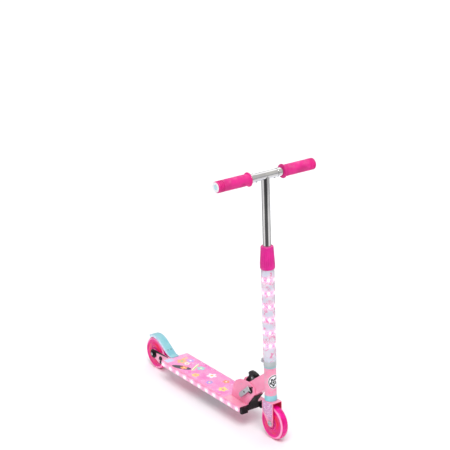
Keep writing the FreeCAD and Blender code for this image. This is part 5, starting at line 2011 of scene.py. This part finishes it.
@dataclass
class PlainPieces:
    """Finishes and softened edges of the CAD pieces that keep their shape."""

    finishes: dict[Paint, str] = field(default_factory=lambda: {
        Paint.PINK: "deck_shell fold_bracket latch_catch_pins head_tube",
        Paint.PALE_PINK: "rear_dropouts",
        Paint.NECK: "neck",
        Paint.FORK: "fork",
        # bracket_front_cover is black all over; it fills the dark front between the fold bracket's
        # side plates.
        Paint.BLACK: "deck_front_cap bracket_front_cover frame_rivets cam_washer "
                     "rear_axle_rings latch_lever",
        Paint.TEAL: "deck_switch_button column_switch_button lower_headset_cover",
        Paint.SEAFOAM: "upper_headset_cover",
        Paint.GREY: "battery_box battery_lid column_clamp",
        Paint.MILK: "light_carrier column_cell_carrier",
        Paint.MAGENTA: "collar_ferrule",
        Paint.BOARD: "deck_light_boards",
        Paint.CELL: "deck_cells column_cells",
        Paint.AXLE_HEAD: "rear_axle",
        Paint.BRONZE: "hinge_bush",
        Paint.CHROME: "t_bar handle_tubes",
        Paint.DARK_STEEL: "right_snap_button left_snap_button",
        Paint.STEEL: "deck_screws hinge_skewer fender_hinge quick_release_lever "
                     "rear_wheel_bearings front_wheel_bearings headset_bearings latch_hinge "
                     "steerer_tube column_tube clamp_bolt front_axle"})
    lamps: tuple[str, ...] = ("deck_lights", "column_lights", "front_wheel_lights",
                              "rear_wheel_lights")
    softened: dict[str, float] = field(default_factory=lambda: {
        "deck_shell": 0.6, "deck_front_cap": 0.9, "fold_bracket": 0.5,
        "bracket_front_cover": 0.5, "rear_dropouts": 0.5, "neck": 1.6, "latch_lever": 0.9,
        "fork": 0.8, "column_clamp": 0.7, "rear_axle_rings": 0.6,
        "frame_rivets": 0.5, "battery_box": 0.6, "battery_lid": 0.3, "deck_light_lenses": 0.4,
        "front_axle": 0.3, "rear_axle": 0.3, "clamp_bolt": 0.5})
    weld_reach: float = 0.002
    flat_angle: float = 0.5
    hard_angle: float = 35.0
    bevel_segments: int = 3

    def build(self, shop: Workshop, nodes: dict[str, Piece]) -> None:
        """Dress the CAD pieces in its lists, and soften the ones with hard edges.

        Args:
            shop: The workshop.
            nodes: CAD pieces by name.
        """
        for paint, names in self.finishes.items():
            for name in names.split():
                shop.dress(nodes[name], paint)
        for name in self.lamps:
            shop.dress(nodes[name], Lamp())
        for name, width in self.softened.items():
            self._soften(nodes[name], width)

    def _soften(self, piece: Piece, width: float) -> None:
        """Round a piece's hard edges by a width in millimetres.

        Args:
            piece: The piece.
            width: Width, in millimetres.
        """
        for name, kind, settings in (
                ("joined", "WELD", {"merge_threshold": self.weld_reach * MM}),
                ("flat faces", "DECIMATE", {"decimate_type": "DISSOLVE",
                                            "angle_limit": math.radians(self.flat_angle)}),
                ("soft edges", "BEVEL", {"width": width * MM, "segments": self.bevel_segments,
                                         "limit_method": "ANGLE", "use_clamp_overlap": True,
                                         "angle_limit": math.radians(self.hard_angle)}),
                ("even shading", "WEIGHTED_NORMAL", {"keep_sharp": True})):
            modifier = piece.modifiers.new(name, kind)
            for key, setting in settings.items():
                setattr(modifier, key, setting)


@dataclass
class Studio:
    """Pale floor, soft lights and the camera."""

    effects: Effects
    eye: tuple[float, float, float] = (3.945, -2.871, 2.424)
    tilt: float = 69.04
    heading: float = 53.58
    lens: float = 147.1
    sensor: float = 36.0
    far: float = 100.0
    floor_half: float = 14.0
    key: float = 2.0
    back_share: float = 0.22
    ambient: Tint = Tint(194, 195, 198)

    def build(self) -> None:
        """Make the floor, the lights, the world and the camera."""
        self._floor()
        self._lights()
        self._world()
        self._camera()
        bpy.context.scene.view_settings.view_transform = "Standard"

    def _floor(self) -> None:
        """A wide pale floor; polished metal sees dark flags on its far part."""
        mesh = bmesh.new()
        bmesh.ops.create_grid(mesh, x_segments=2, y_segments=2, size=self.floor_half)
        data = bpy.data.meshes.new("studio_floor")
        mesh.to_mesh(data)
        mesh.free()
        floor = bpy.data.objects.new("studio_floor", data)
        bpy.context.scene.collection.objects.link(floor)
        material, bench, shader = new_material("pale floor")
        place = bench.spot()
        bench.supply(shader, {
            "Base Color": bench.blend(bench.noise(place, 3.0, 3.0), Tint(250, 250, 251),
                                      Tint(246, 246, 248)),
            "Roughness": 0.8, "Specular IOR Level": 0.1})
        reach = bench.vectors("LENGTH", place)
        toward = bench.vectors("SUBTRACT", place, (0.24, 0.0, 0.0))
        shade = (bench.effect(self.effects.flags, Direction=toward)["Shade"]
                 * bench.ramp(reach, 3.1, 2.5, 0.45, 1.0))
        mirrored = bench.take("ShaderNodeEmission", 0, {
            "Color": bench.blend(shade, INK, Tint(250, 248, 244))})
        glossy = bench.take("ShaderNodeLightPath", "Is Glossy Ray")
        mix = bench.take("ShaderNodeMixShader", 0, {
            0: bench.ramp(reach, 0.75, 1.0) * glossy, 1: Wire(bench, shader.outputs[0]),
            2: mirrored})
        output = next(node for node in material.node_tree.nodes
                      if node.type == "OUTPUT_MATERIAL")
        bench.supply(output, {0: mix})
        data.materials.append(material)

    def _lights(self) -> None:
        """A wide soft key light from the front right and a gentle one from behind."""
        for name, place, spread, power in (
                ("key_light", (1.3, -1.0, 3.0), 38.0, self.key),
                ("back_light", (-1.6, 1.4, 2.2), 50.0, self.key * self.back_share)):
            light = bpy.data.lights.new(name, "SUN")
            light.angle = math.radians(spread)
            light.energy = power
            lamp = bpy.data.objects.new(name, light)
            lamp.location = place
            lamp.rotation_euler = (-Vector(place)).to_track_quat("-Z", "Y").to_euler()
            bpy.context.scene.collection.objects.link(lamp)

    def _world(self) -> None:
        """White surroundings, with dark flags where polished metal looks level."""
        world = bpy.data.worlds.new("studio")
        bpy.context.scene.world = world
        world.use_nodes = True
        world.node_tree.nodes.clear()
        bench = Bench(world.node_tree)
        toward = bench.take("ShaderNodeTexCoord", "Generated")
        flags = bench.effect(self.effects.flags, Direction=toward)["Shade"]
        ceiling = bench.ramp(bench.split(toward)[2], 0.04, 0.3)
        rays = bench.wires(bench.add("ShaderNodeLightPath", {}))
        seen = bench.layers(
            self.ambient,
            (rays["Is Glossy Ray"], bench.blend(ceiling, flags * 0.5, Tint(214, 212, 204))),
            (rays["Is Camera Ray"], Tint(255, 255, 255)))
        bench.add("ShaderNodeOutputWorld", {
            0: bench.take("ShaderNodeBackground", 0, {"Color": seen})})

    def _camera(self) -> None:
        """The camera, from the front right and above."""
        data = bpy.data.cameras.new("camera")
        data.lens = self.lens
        data.sensor_width = self.sensor
        data.clip_end = self.far
        camera = bpy.data.objects.new("camera", data)
        camera.location = self.eye
        camera.rotation_euler = (math.radians(self.tilt), 0.0, math.radians(self.heading))
        bpy.context.scene.collection.objects.link(camera)
        bpy.context.scene.camera = camera


def main() -> None:
    """Build the scooter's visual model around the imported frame."""
    logging.basicConfig(level=logging.INFO, format="%(message)s")
    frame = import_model()
    effects = Effects()
    Studio(effects).build()
    shop = Workshop(effects)
    column = ColumnFrame().matrix()
    PlainPieces().build(shop, frame["nodes"])
    Deck().build(shop, frame["nodes"])
    RollingWheel("front", 290.0).build(shop)
    RollingWheel("rear", -290.0).build(shop)
    LitColumn(column).build(shop)
    Handlebar(column).build(shop)
    HeadAndFork(column).build(shop)
    QuickRelease().build(shop)
    RearEnd().build(shop)
    bpy.context.view_layer.update()


if __name__ == "__main__":
    main()
